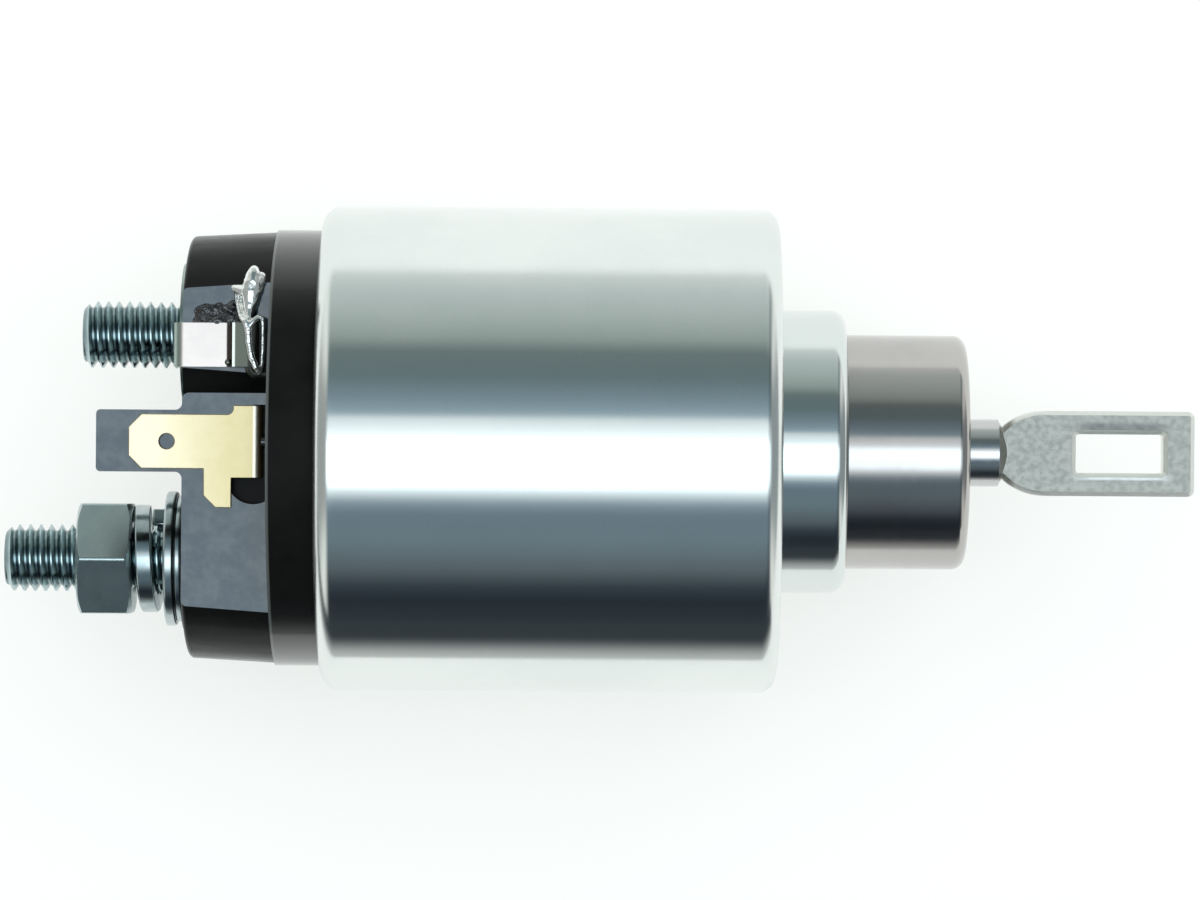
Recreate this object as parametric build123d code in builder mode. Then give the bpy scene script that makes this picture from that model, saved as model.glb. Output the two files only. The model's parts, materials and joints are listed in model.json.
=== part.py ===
"""Starter solenoid: a drawn steel case with a two-winding coil, a spring-loaded plunger with a
slotted link, and a moulded terminal cap that holds the contacts.

Millimetres. The X axis is the axis of the solenoid, and +X is the way that the plunger points.
The origin is the centre of the mounting face, at the foot of the locating collar. +Z is the side
of the cap with the flat that carries the blade terminal. The two terminal studs lie along Y.
"""

import math
import os

from build123d import *

os.makedirs("parts", exist_ok=True)

# Fits
slide_fit = 0.08  # radial, a piece that slides in another
seat_fit = 0.05  # radial, a piece that stays where it is pressed
rest_gap = 0.1  # axial, between moving pieces that stop against each other

# Case
case_radius = 28.75
case_length = 53.9
case_wall = 2.75
front_plate = 4.5
front_corner = 2.2
collar_wall = 2.27
collar_length = 8.0
collar_corner = 1.7
rim_wall = 1.4
rim_lip = 1.9
rim_corner = 2.0
mount_shift = 0.775  # from the middle of the front ring, towards the collar
mount_hole_radius = 2.5
mount_hole_chamfer = 0.6

# Terminal cap
band_length = 5.4
flange_overhang = 1.4
flange_thickness = 3.4
drum_step = 0.3
drum_length = 10.2
drum_draft = 3.0
drum_corner = 0.6
cap_end_wall = 4.9
flat_depth = 8.6
stud_offset = 13.3
chamber_radius = 13.8
tongue_width = 7.2
tongue_length = 9.95
tongue_thickness = 3.0
tongue_edge = 0.5
tongue_centre = 0.7
tongue_root = 0.8
groove_low_side = 6.3
groove_high_side = 8.5
groove_flare = 0.7
groove_depth = 1.5
groove_rise = 1.3
pocket_radius = 3.1
pocket_depth = 2.5
pocket_inset = 1.9
pocket_centre = -3.5
boss_radius = 8.5
boss_height = 0.8

# Studs and their hardware
stud_radius = 4.0
shank_radius = 3.6  # the blank that the M8 thread is rolled on
stud_chamfer = 0.8
head_across_flats = 12.0
head_thickness = 3.0
head_clearance = 0.1
motor_stud_reach = 12.9
battery_stud_reach = 22.0
ring_thickness = 0.8
ring_radius = 7.5
washer_radius = 8.0
washer_thickness = 1.3
washer_bore = 4.2
lock_radius = 6.4
lock_wire = 2.0
lock_height = 3.9
lock_split = 12.0
nut_across_flats = 13.0
nut_thickness = 6.5
nut_turn = 30.0
nut_corner_angle = 30.0
seal_section = 0.55
seal_squeeze = 0.05

# Blade terminal
blade_width = 6.3
blade_thickness = 0.8
blade_centre = 0.65
blade_tip = 6.1
blade_tip_chamfer = 1.5
blade_hole_radius = 0.9
blade_hole_inset = 4.4
blade_foot_width = 8.4
blade_foot_length = 3.2
blade_foot_gap = 1.0
blade_foot_corner = 0.7
blade_fold = 2.2
blade_fold_corner = 0.72
blade_leg_width = 3.2
blade_leg_drop = 4.5
blade_leg_start = 6.6
blade_leg_chamfer = 1.4

# Motor terminal strap and what is soldered to it
strap_width = 5.1
strap_thickness = 1.0
strap_centre = 11.85
strap_lug_radius = 8.5
strap_bend = 1.2
wire_radius = 0.65
wire_bend = 0.8
wire_end = 20.9
hook_gap = 0.55
hook_mouth = 4.0
solder_width = 1.5
solder_height = 1.35
solder_length = 5.8
solder_profile = ((0.0, 0.8), (0.35, 1.0), (0.75, 0.75), (1.0, 0.55))  # shares of length and width
resin_thickness = 0.8
resin_length = 5.0
resin_shoulder = 4.0
resin_crown = 2.25
resin_draft = 15.0
resin_clearance = 0.2

# Coil
sleeve_wall = 0.5
sleeve_inset = 0.4
bobbin_wall = 1.2
bobbin_flange = 1.6
bobbin_gap = 0.4
bobbin_lip = 0.5
pull_in_share = 0.66
wrap_thickness = 0.7
wave_washer_thickness = 0.8
wave_washer_width = 5.0
layer_gap = 0.1

# Core
core_plate = 5.0
gasket_thickness = 0.8
gasket_width = 3.4
air_gap = 0.3
lead_hole_radius = 1.1

# Plunger
plunger_radius = 13.9
plunger_reach = 22.3
plunger_length = 36.0
plunger_stroke = 11.0
plunger_corner = 1.5
plunger_nose = 10.0
rod_hole_chamfer = 1.0
bore_radius = 7.6
plug_radius = 8.2
plug_thickness = 2.0
return_groove_inner = 9.2
return_groove_outer = 12.0
plunger_groove_depth = 5.0
core_groove_depth = 7.0

# Link
rod_radius = 4.0
rod_reach = 4.0
link_length = 27.3
link_width = 10.1
link_thickness = 4.0
link_edge = 0.5
link_neck_width = 5.8
link_neck_length = 1.0
link_neck_inset = 0.4
link_shoulder = 5.3
link_flare = 45.0
link_end_corner = 0.8
slot_length = 10.4
slot_width = 4.6
slot_corner = 0.4
slot_bevel = 0.5
slot_inset = 3.7
link_head_radius = 5.6
link_head_thickness = 2.2
seat_radius = 7.3
seat_thickness = 1.5

# Moving contact
contact_gap = 2.0
contact_radius = 13.0
contact_thickness = 2.4
contact_hole_radius = 4.3
bush_flange_radius = 6.4
bush_flange = 1.5
bush_washer = 1.2
bush_washer_radius = 6.0
contact_rod_radius = 2.0
pusher_radius = 3.0
rod_travel = 2.8
rod_step_gap = 1.0
rod_tail = 1.5
clip_radius = 4.4
clip_thickness = 0.8
clip_mouth = 2.8
clip_groove_depth = 0.5
guide_flange = 1.4
guide_flange_radius = 5.5
guide_radius = 4.0
guide_length = 3.5
pocket_bottom_wall = 1.6
spring_pocket_radius = 4.0

# Springs: wire radius, mean radius and number of turns
return_wire, return_mean, return_turns = 0.75, 10.6, 5
release_wire, release_mean, release_turns = 0.8, 5.85, 7
contact_wire, contact_mean, contact_turns = 0.45, 3.5, 4
opening_wire, opening_mean, opening_turns = 0.4, 2.95, 4
spring_gap = 0.05

# Stations along the axis, from the mounting face back to the tips of the studs
rim_x = -case_length
flange_back = rim_x + rim_lip
flange_front = flange_back + flange_thickness
core_back = flange_front + gasket_thickness
core_front = core_back + core_plate
coil_front = -front_plate
band_back = rim_x - band_length
cap_back = band_back - drum_length
chamber_back = cap_back + cap_end_wall
head_front = chamber_back + head_thickness
plunger_back = plunger_reach - plunger_length
pole_face = plunger_back - plunger_stroke - air_gap
disc_back = head_front + contact_gap
disc_front = disc_back + contact_thickness
bush_front = disc_front + bush_flange
bush_back = disc_back - bush_washer
guide_back = core_back - guide_flange
front_clip_front = guide_back - rest_gap
rod_tip = plunger_back - plunger_stroke - air_gap + rod_travel
battery_tip = cap_back - battery_stud_reach
motor_tip = cap_back - motor_stud_reach
blade_front = band_back - blade_foot_gap
boss_face = cap_back - boss_height
strap_back = cap_back - strap_thickness
ring_back = boss_face - ring_thickness
washer_back = ring_back - washer_thickness
lock_back = washer_back - lock_height
nut_back = lock_back - nut_thickness

# Radii that follow from what sits in what
coil_bore = case_radius - case_wall
skirt_bore = case_radius - rim_wall
flange_radius = skirt_bore - seat_fit
band_radius = flange_radius - flange_overhang
drum_radius = band_radius - drum_step
drum_end_radius = drum_radius - drum_length * math.tan(math.radians(drum_draft))
flat_height = drum_radius - flat_depth
sleeve_bore = plunger_radius + slide_fit
sleeve_radius = sleeve_bore + sleeve_wall
collar_bore = sleeve_radius + seat_fit
collar_radius = collar_bore + collar_wall
mount_radius = (collar_radius + case_radius) / 2 - mount_shift
pole_radius = sleeve_bore - seat_fit
bobbin_bore = sleeve_radius + bobbin_gap / 2
bobbin_hub = bobbin_bore + bobbin_wall
bobbin_radius = coil_bore - bobbin_gap
wire_depth = bobbin_radius - bobbin_lip - wrap_thickness - bobbin_hub - 3 * layer_gap
pull_in_inner = bobbin_hub + layer_gap
pull_in_outer = pull_in_inner + pull_in_share * wire_depth
hold_in_inner = pull_in_outer + layer_gap
hold_in_outer = hold_in_inner + (1 - pull_in_share) * wire_depth
bobbin_back = core_front
bobbin_end = coil_front - wave_washer_thickness
winding_back = bobbin_back + bobbin_flange + layer_gap
winding_front = bobbin_end - bobbin_flange - layer_gap

# Where the leads run
wire_height = flat_height + strap_thickness + wire_radius + seat_fit
hook_x = band_back - strap_thickness - wire_radius - hook_gap
lead_y = strap_centre - strap_width / 2 - wire_bend
control_y = blade_centre
control_z = bobbin_hub + wire_radius + layer_gap
leads = ((lead_y, wire_height), (control_y, control_z))


def ring(start, end, outer, inner=0.0, mode=Mode.ADD):
    """Adds a disc or a ring round the X axis, from one station to another, to the open part."""
    with BuildSketch(Plane.YZ.offset(start)) as section:
        Circle(outer)
        if inner > 0:
            Circle(inner, mode=Mode.SUBTRACT)
    extrude(section.sketch, amount=end - start, mode=mode)


def stud_ring(y, start, end, outer, inner=0.0, mode=Mode.ADD):
    """Adds a ring like the one above round the axis of a stud."""
    with BuildSketch(Plane.YZ.offset(start)) as section:
        with Locations((y, 0)):
            Circle(outer)
            if inner > 0:
                Circle(inner, mode=Mode.SUBTRACT)
    extrude(section.sketch, amount=end - start, mode=mode)


def stud_hexagon(y, start, end, across_flats, turn=0.0, mode=Mode.ADD):
    """Adds a hexagonal prism round the axis of a stud."""
    with BuildSketch(Plane.YZ.offset(start)) as section:
        with Locations((y, 0)):
            RegularPolygon(across_flats / 2, 6, major_radius=False, rotation=turn)
    extrude(section.sketch, amount=end - start, mode=mode)


def lead_holes(start, end, radius):
    """Cuts the holes that both leads pass through."""
    with BuildSketch(Plane.YZ.offset(start)) as section:
        with Locations(*leads):
            Circle(radius)
    extrude(section.sketch, amount=end - start, mode=Mode.SUBTRACT)


def coil_spring(start, end, wire, mean, turns):
    """Adds an open coil spring round the X axis that just fits between two stations."""
    first = start + spring_gap + wire
    height = end - start - 2 * (spring_gap + wire)
    with BuildLine() as path:
        Helix(height / turns, height, mean, center=(first, 0, 0), direction=(1, 0, 0))
    with BuildSketch(Plane(origin=path.line @ 0, z_dir=path.line % 0)) as section:
        Circle(wire)
    sweep(section.sketch, path=path.line, is_frenet=True)


def rims(piece, radius):
    """The circular edges of a piece that have this radius, from the back to the front."""
    circles = piece.edges().filter_by(GeomType.CIRCLE)
    return circles.filter_by(lambda e: math.isclose(e.radius, radius, abs_tol=1e-3)).sort_by(Axis.X)


def save(piece, name):
    """Labels a finished piece and writes it as its own file."""
    piece.part.label = name
    export_step(piece.part, f"parts/{name}.step")


# Case: a drawn cup with its locating collar, and a thin skirt rolled in over the cap's flange
with BuildPart() as case:
    with BuildSketch(Plane.XY):
        with BuildLine():
            Polyline(
                (coil_front, collar_bore),
                (collar_length, collar_bore),
                (collar_length, collar_radius),
                (0, collar_radius),
                (0, case_radius),
                (rim_x, case_radius),
                (rim_x, band_radius + seat_fit),
                (flange_back, band_radius + seat_fit),
                (flange_back, skirt_bore),
                (core_front, skirt_bore),
                (core_front, coil_bore),
                (coil_front, coil_bore),
                close=True,
            )
        make_face()
    revolve(axis=Axis.X)
    fillet(rims(case, case_radius)[-1], front_corner)
    fillet(rims(case, case_radius)[0], rim_corner)
    fillet(rims(case, collar_radius)[-1], collar_corner)
    with BuildSketch(Plane.YZ.offset(coil_front)):
        with PolarLocations(mount_radius, 2, start_angle=90):
            Circle(mount_hole_radius)
    extrude(amount=front_plate, mode=Mode.SUBTRACT)
    chamfer(rims(case, mount_hole_radius)[-2:], mount_hole_chamfer)
save(case, "case")

# Guide sleeve: a thin brass tube that the plunger slides in
with BuildPart() as guide_sleeve:
    sleeve_end = collar_length - sleeve_inset
    ring(core_front + bobbin_flange, sleeve_end, sleeve_radius, sleeve_bore)
save(guide_sleeve, "guide_sleeve")

# Fixed core: the plate that closes the coil, with the pole that the plunger is drawn to
with BuildPart() as fixed_core:
    ring(core_back, core_front, skirt_bore - seat_fit)
    ring(core_front, pole_face, pole_radius)
    ring(pole_face - core_groove_depth, pole_face, return_groove_outer, return_groove_inner, Mode.SUBTRACT)
    ring(core_back, pole_face, pusher_radius + slide_fit, mode=Mode.SUBTRACT)
    ring(core_back, core_back + guide_length, guide_radius, mode=Mode.SUBTRACT)
    lead_holes(core_back, core_front, lead_hole_radius)
save(fixed_core, "fixed_core")

# Bobbin: a moulded spool on the sleeve
with BuildPart() as bobbin:
    ring(bobbin_back, bobbin_end, bobbin_radius, bobbin_bore)
    ring(
        bobbin_back + bobbin_flange,
        bobbin_end - bobbin_flange,
        case_radius,
        bobbin_hub,
        Mode.SUBTRACT,
    )
    lead_holes(bobbin_back, bobbin_back + bobbin_flange, lead_hole_radius)
save(bobbin, "bobbin")

# Windings: the heavy pull-in winding inside and the fine hold-in winding over it
with BuildPart() as pull_in_winding:
    ring(winding_back, winding_front, pull_in_outer, pull_in_inner)
save(pull_in_winding, "pull_in_winding")

with BuildPart() as hold_in_winding:
    ring(winding_back, winding_front, hold_in_outer, hold_in_inner)
save(hold_in_winding, "hold_in_winding")

with BuildPart() as winding_wrap:
    wrap_inner = hold_in_outer + layer_gap
    ring(winding_back, winding_front, wrap_inner + wrap_thickness, wrap_inner)
save(winding_wrap, "winding_wrap")

# Spacer that takes up the play between the bobbin and the front plate
with BuildPart() as bobbin_spacer:
    ring(bobbin_end, coil_front, bobbin_radius, bobbin_radius - wave_washer_width)
save(bobbin_spacer, "bobbin_spacer")

# Cap gasket, between the core plate and the cap
with BuildPart() as cap_gasket:
    gasket_radius = skirt_bore - seat_fit
    ring(flange_front, core_back, gasket_radius, gasket_radius - gasket_width)
save(cap_gasket, "cap_gasket")

# Terminal cap: flange, band and tapered drum, with the flat, the tongue and the contact chamber
with BuildPart() as terminal_cap:
    with BuildSketch(Plane.XY):
        with BuildLine():
            Polyline(
                (flange_front, 0),
                (flange_front, flange_radius),
                (flange_back, flange_radius),
                (flange_back, band_radius),
                (band_back, band_radius),
                (band_back, drum_radius),
                (cap_back, drum_end_radius),
                (cap_back, 0),
                close=True,
            )
        make_face()
    revolve(axis=Axis.X)
    fillet(rims(terminal_cap, drum_end_radius)[0], drum_corner)
    # The flat that carries the blade, and beside the strap a groove that widens towards the end
    with BuildSketch(Plane.YZ.offset(band_back)):
        with Locations((0, flat_height)):
            Rectangle(2 * drum_radius, drum_radius, align=(Align.CENTER, Align.MIN))
    extrude(amount=-drum_length, mode=Mode.SUBTRACT)
    groove_top = flat_height + groove_depth
    groove_floor = flat_height - groove_depth
    for station, flare in ((band_back, 0), (cap_back, groove_flare)):
        high_side = groove_high_side + flare
        with BuildSketch(Plane.YZ.offset(station)):
            with BuildLine():
                Polyline(
                    (groove_low_side, groove_top),
                    (groove_low_side, groove_floor),
                    (high_side, groove_floor + groove_rise),
                    (high_side, groove_top),
                    close=True,
                )
            make_face()
    loft(ruled=True, mode=Mode.SUBTRACT)
    # The tongue under the blade
    with BuildSketch(Plane.XY.offset(flat_height)):
        with Locations((cap_back, tongue_centre)):
            Rectangle(2 * tongue_length, tongue_width)
        with Locations((cap_back + tongue_length, tongue_centre)):
            Rectangle(2 * tongue_length, 2 * tongue_width, mode=Mode.SUBTRACT)
    extrude(amount=-tongue_thickness)
    tip_edges = terminal_cap.edges().filter_by(Axis.Z).sort_by(Axis.X)[:2]
    fillet(tip_edges, tongue_edge)
    root_edges = [
        e
        for e in terminal_cap.edges().filter_by(Axis.Z)
        if math.isclose(e.center().X, cap_back) and abs(e.center().Y - tongue_centre) < tongue_width
    ]
    fillet(root_edges, tongue_root)
    # Boss under the battery stud's washers
    stud_ring(-stud_offset, boss_face, cap_back, boss_radius)
    # Slot for the blade's folded foot, and the pocket beside it
    with BuildSketch(Plane.XY.offset(flat_height)):
        with Locations((band_back, blade_centre)):
            Rectangle(
                blade_foot_gap + blade_thickness + rest_gap,
                blade_foot_width + 2 * rest_gap,
                align=(Align.MAX, Align.CENTER),
            )
        with Locations((band_back - pocket_inset, pocket_centre)):
            Circle(pocket_radius)
        with Locations((band_back, pocket_centre)):
            Rectangle(pocket_radius, 2 * pocket_radius, align=(Align.MIN, Align.CENTER), mode=Mode.SUBTRACT)
    extrude(amount=-pocket_depth, mode=Mode.SUBTRACT)
    # Contact chamber with the seats of the stud heads, their seals and the opening spring
    ring(chamber_back, flange_front, chamber_radius, mode=Mode.SUBTRACT)
    ring(cap_back + pocket_bottom_wall, chamber_back, spring_pocket_radius, mode=Mode.SUBTRACT)
    for side in (-1, 1):
        y = side * stud_offset
        head_seat = head_across_flats + 2 * head_clearance
        stud_hexagon(y, chamber_back, flange_front, head_seat, mode=Mode.SUBTRACT)
        stud_ring(y, boss_face, chamber_back, shank_radius + seat_fit, mode=Mode.SUBTRACT)
        seal_depth = 2 * (seal_section + seal_squeeze)
        seal_seat = shank_radius + seal_squeeze + seal_depth
        stud_ring(y, chamber_back - seal_depth, chamber_back, seal_seat, mode=Mode.SUBTRACT)
    lead_holes(blade_front, flange_front, wire_radius + seat_fit)
save(terminal_cap, "terminal_cap")

# Terminal studs: M8 bolts whose heads are the fixed contacts. The free thread is drawn at its outer
# radius, and what passes through the cap, the washers and the nut at the radius of the blank
for name, y, shoulder, tip in (
    ("motor_stud", stud_offset, strap_back, motor_tip),
    ("battery_stud", -stud_offset, nut_back, battery_tip),
):
    with BuildPart() as stud:
        stud_hexagon(y, chamber_back, head_front, head_across_flats)
        stud_ring(y, shoulder, chamber_back, shank_radius)
        stud_ring(y, tip, shoulder, stud_radius)
        chamfer(rims(stud, stud_radius)[0], stud_chamfer)
    save(stud, name)

# Rubber rings that seal the studs in the cap
with BuildPart() as stud_seals:
    seal_mean = shank_radius + 2 * seal_squeeze + seal_section
    for y in (stud_offset, -stud_offset):
        with BuildSketch(Plane.XY) as section:
            with Locations((chamber_back - seal_section - seal_squeeze, y + seal_mean)):
                Circle(seal_section)
        revolve(section.sketch, axis=Axis((0, y, 0), (1, 0, 0)))
save(stud_seals, "stud_seals")

# Hardware on the battery stud
with BuildPart() as battery_ring:
    stud_ring(-stud_offset, ring_back, boss_face, ring_radius, washer_bore)
save(battery_ring, "battery_ring")

with BuildPart() as battery_washer:
    stud_ring(-stud_offset, washer_back, ring_back, washer_radius, washer_bore)
save(battery_washer, "battery_washer")

# Split spring washer: one turn of square wire, left sprung open as under a nut run down by hand
with BuildPart() as battery_lock_washer:
    lock_mean = (lock_radius + washer_bore) / 2
    lock_rise = lock_height - lock_wire
    lock_part = 1 - lock_split / 360
    with BuildLine() as lock_path:
        Helix(
            lock_rise / lock_part,
            lock_rise,
            lock_mean,
            center=(lock_back + lock_wire / 2, -stud_offset, 0),
            direction=(1, 0, 0),
        )
    lock_start = lock_path.line @ 0
    outward = lock_start - Vector(lock_start.X, -stud_offset, 0)
    with BuildSketch(Plane(origin=lock_start, x_dir=outward, z_dir=outward.cross(Vector(1, 0, 0)))):
        Rectangle(lock_radius - washer_bore, lock_wire)
    sweep(path=lock_path.line, is_frenet=True)
save(battery_lock_washer, "battery_lock_washer")

with BuildPart() as battery_nut:
    stud_hexagon(-stud_offset, nut_back, lock_back, nut_across_flats, nut_turn)
    # The corners of the nut are turned down on both faces
    corner_radius = nut_across_flats / math.sqrt(3)
    relief = (corner_radius - nut_across_flats / 2) * math.tan(math.radians(nut_corner_angle))
    with BuildSketch(Plane.XY):
        with BuildLine():
            Polyline(
                (nut_back, -stud_offset),
                (nut_back, nut_across_flats / 2 - stud_offset),
                (nut_back + relief, corner_radius - stud_offset),
                (lock_back - relief, corner_radius - stud_offset),
                (lock_back, nut_across_flats / 2 - stud_offset),
                (lock_back, -stud_offset),
                close=True,
            )
        make_face()
    revolve(axis=Axis((0, -stud_offset, 0), (1, 0, 0)), mode=Mode.INTERSECT)
    stud_ring(-stud_offset, nut_back, lock_back, shank_radius + seat_fit, mode=Mode.SUBTRACT)
save(battery_nut, "battery_nut")

# Blade terminal: a stamped brass tab with a foot folded down into the cap
with BuildPart() as blade_terminal:
    tip_x = cap_back - blade_tip
    half = blade_width / 2
    foot_half = blade_foot_width / 2
    foot_x = blade_front - blade_foot_length
    leg_x = blade_front - blade_leg_start + blade_leg_width / 2
    with BuildSketch(Plane.XY.offset(flat_height)) as blade_outline:
        with BuildLine():
            Polyline(
                (blade_front, blade_centre + foot_half),
                (foot_x, blade_centre + foot_half),
                (foot_x, blade_centre + half),
                (tip_x + blade_tip_chamfer, blade_centre + half),
                (tip_x, blade_centre + half - blade_tip_chamfer),
                (tip_x, blade_centre - half + blade_tip_chamfer),
                (tip_x + blade_tip_chamfer, blade_centre - half),
                (leg_x - blade_leg_width / 2, blade_centre - half),
                (leg_x - blade_leg_width / 2, blade_centre - half - blade_leg_drop + blade_leg_chamfer),
                (leg_x - blade_leg_width / 2 + blade_leg_chamfer, blade_centre - half - blade_leg_drop),
                (leg_x + blade_leg_width / 2, blade_centre - half - blade_leg_drop),
                (leg_x + blade_leg_width / 2, blade_centre - foot_half),
                (blade_front, blade_centre - foot_half),
                close=True,
            )
        make_face()
        shoulder = blade_outline.vertices().sort_by_distance((foot_x, blade_centre + half))[0]
        fillet(shoulder, blade_foot_corner)
        with Locations((tip_x + blade_hole_inset, blade_centre)):
            Circle(blade_hole_radius, mode=Mode.SUBTRACT)
    extrude(amount=blade_thickness)
    with BuildSketch(Plane.XY.offset(flat_height)):
        with Locations((blade_front, blade_centre)):
            Rectangle(blade_thickness, blade_foot_width, align=(Align.MAX, Align.CENTER))
    extrude(amount=-blade_fold)
    fold_edges = blade_terminal.edges().filter_by(Axis.Y).group_by(Axis.X)[-1].sort_by(Axis.Z)
    fillet(fold_edges[-1], blade_fold_corner)
save(blade_terminal, "blade_terminal")

# Motor terminal strap: a lug on the end of the cap, bent over its edge and hooked round the lead
with BuildPart() as motor_strap:
    strap_top = flat_height + strap_thickness
    with BuildSketch(Plane.XZ.offset(-strap_centre)):
        with BuildLine():
            outer = FilletPolyline(
                (strap_back, 0),
                (strap_back, strap_top),
                (hook_x, strap_top),
                radius=strap_bend,
            )
            Line(outer @ 1, (hook_x, flat_height))
            Polyline((hook_x, flat_height), (cap_back, flat_height), (cap_back, 0), (strap_back, 0))
        make_face()
        # The hook is a half ring round the wire, with a straight lip over it
        with Locations((hook_x, wire_height)):
            Circle(wire_radius + strap_thickness + seat_fit)
        with Locations((hook_x, wire_height)):
            Circle(wire_radius + seat_fit, mode=Mode.SUBTRACT)
            Rectangle(
                hook_mouth,
                2 * (wire_radius + seat_fit),
                align=(Align.MAX, Align.CENTER),
                mode=Mode.SUBTRACT,
            )
    extrude(amount=strap_width / 2, both=True)
    with BuildSketch(Plane.YZ.offset(strap_back)):
        with Locations((stud_offset, 0)):
            Circle(strap_lug_radius)
    extrude(amount=strap_thickness)
    stud_ring(stud_offset, strap_back, cap_back, shank_radius + seat_fit, mode=Mode.SUBTRACT)
save(motor_strap, "motor_strap")

# Leads: enamelled copper wire from the windings
with BuildPart() as pull_in_lead:
    with BuildLine() as lead_path:
        FilletPolyline(
            (winding_back, lead_y, wire_height),
            (hook_x, lead_y, wire_height),
            (hook_x, wire_end, wire_height),
            radius=wire_bend,
        )
    with BuildSketch(Plane.YZ.offset(winding_back)):
        with Locations((lead_y, wire_height)):
            Circle(wire_radius)
    sweep(path=lead_path.line)
save(pull_in_lead, "pull_in_lead")

with BuildPart() as control_lead:
    with BuildSketch(Plane.YZ.offset(blade_front)):
        with Locations((control_y, control_z)):
            Circle(wire_radius)
    extrude(amount=winding_back - blade_front)
save(control_lead, "control_lead")

# Solder on the end of the pull-in lead, and the sealing resin on the flat beside the strap
with BuildPart() as solder_joint:
    solder_start = strap_centre + strap_width / 2
    for share, size in solder_profile:
        # The plane faces along -Y, so its offset is counted the other way
        with BuildSketch(Plane.XZ.offset(-solder_start - share * solder_length)):
            with Locations((hook_x, wire_height)):
                Ellipse(size * solder_width, size * solder_height)
    loft()
    with BuildSketch(Plane.XZ.offset(-solder_start)):
        with Locations((hook_x, wire_height)):
            Circle(wire_radius)
    extrude(amount=-solder_length, mode=Mode.SUBTRACT)
save(solder_joint, "solder_joint")

with BuildPart() as sealing_resin:
    resin_back = cap_back + drum_corner
    resin_low = strap_centre + strap_width / 2 + resin_clearance
    flat_half = math.sqrt(drum_end_radius**2 - flat_height**2)
    resin_high = flat_half - resin_clearance
    with BuildSketch(Plane.XY.offset(flat_height)):
        with BuildLine():
            bottom = Line((resin_back, resin_low), (resin_back + resin_length, resin_low))
            Spline(
                bottom @ 1,
                (resin_back + resin_shoulder, (resin_low + resin_high) / 2),
                (resin_back + resin_crown, resin_high),
                (resin_back, resin_high),
            )
            Line((resin_back, resin_high), bottom @ 0)
        make_face()
    extrude(amount=resin_thickness, taper=resin_draft)
save(sealing_resin, "sealing_resin")

# Plunger: bored from behind for the release spring, with a groove for the return spring
with BuildPart() as plunger:
    ring(plunger_back, plunger_reach, plunger_radius)
    fillet(rims(plunger, plunger_radius)[-1], plunger_corner)
    ring(plunger_back, plunger_reach - plunger_nose, bore_radius, mode=Mode.SUBTRACT)
    ring(plunger_back, plunger_back + plug_thickness, plug_radius, mode=Mode.SUBTRACT)
    groove_front = plunger_back + plunger_groove_depth
    ring(plunger_back, groove_front, return_groove_outer, return_groove_inner, Mode.SUBTRACT)
    ring(plunger_reach - plunger_nose, plunger_reach, rod_radius + slide_fit, mode=Mode.SUBTRACT)
    chamfer(rims(plunger, rod_radius + slide_fit)[-1], rod_hole_chamfer)
save(plunger, "plunger")

# Plug staked into the back of the plunger. It holds the link in and pushes the contact rod
with BuildPart() as plunger_plug:
    ring(plunger_back, plunger_back + plug_thickness, plug_radius - seat_fit)
save(plunger_plug, "plunger_plug")

# Link: a round rod with a riveted head, pressed flat at its free end round a slot
head_back = plunger_back + plug_thickness + rest_gap
head_end = head_back + link_head_thickness
rod_end = plunger_reach + rod_reach
link_tip = plunger_reach + link_length
half_thickness = link_thickness / 2
neck_x = rod_end + link_neck_inset
shoulder_x = neck_x + link_shoulder
flare = math.radians(link_flare)
with BuildPart() as link:
    # The flat paddle, from inside the rod to the tip
    with BuildSketch(Plane.XY.offset(-half_thickness)):
        with BuildLine():
            side = Spline(
                (neck_x, link_neck_width / 2),
                (shoulder_x, link_width / 2),
                tangents=[(math.cos(flare), math.sin(flare)), (1, 0)],
            )
            Line(side @ 1, (link_tip, link_width / 2))
            Line((link_tip, link_width / 2), (link_tip, 0))
            Line((link_tip, 0), (rod_end, 0))
            Line((rod_end, 0), (rod_end, link_neck_width / 2))
            Line((rod_end, link_neck_width / 2), side @ 0)
        make_face()
        mirror(about=Plane.XZ)
    extrude(amount=link_thickness)
    fillet(link.edges().filter_by(Axis.Z).group_by(Axis.X)[-1], link_end_corner)
    for face in (link.faces().sort_by(Axis.Z)[0], link.faces().sort_by(Axis.Z)[-1]):
        chamfer(face.outer_wire().edges(), link_edge)
    # The slot for the fork lever, with its edges pressed in
    with BuildSketch(Plane.XY.offset(-half_thickness)):
        with Locations((link_tip - slot_inset - slot_length / 2, 0)):
            RectangleRounded(slot_length, slot_width, slot_corner)
    extrude(amount=link_thickness, mode=Mode.SUBTRACT)
    for face in (link.faces().sort_by(Axis.Z)[0], link.faces().sort_by(Axis.Z)[-1]):
        chamfer(face.inner_wires()[0].edges(), slot_bevel)
    # The rod, which slopes down to the flat faces, and its head
    with BuildSketch(Plane.XY):
        Polygon(
            (rod_end, 0),
            (rod_end, rod_radius),
            (rod_end + link_neck_length, half_thickness),
            (rod_end + link_neck_length, 0),
            align=None,
        )
    revolve(axis=Axis.X)
    ring(head_end, rod_end, rod_radius)
    ring(head_back, head_end, link_head_radius)
    fillet(rims(link, link_head_radius)[0], link_head_thickness / 2)
save(link, "link")

# Washer under the link's head that the release spring presses on
with BuildPart() as spring_seat:
    seat_front = head_end + seat_thickness
    ring(head_end, seat_front, seat_radius, rod_radius + slide_fit)
save(spring_seat, "spring_seat")

# Springs of the plunger
with BuildPart() as return_spring:
    coil_spring(pole_face - core_groove_depth, groove_front, return_wire, return_mean, return_turns)
save(return_spring, "return_spring")

with BuildPart() as release_spring:
    nose_back = plunger_reach - plunger_nose
    coil_spring(seat_front, nose_back, release_wire, release_mean, release_turns)
save(release_spring, "release_spring")

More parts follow.
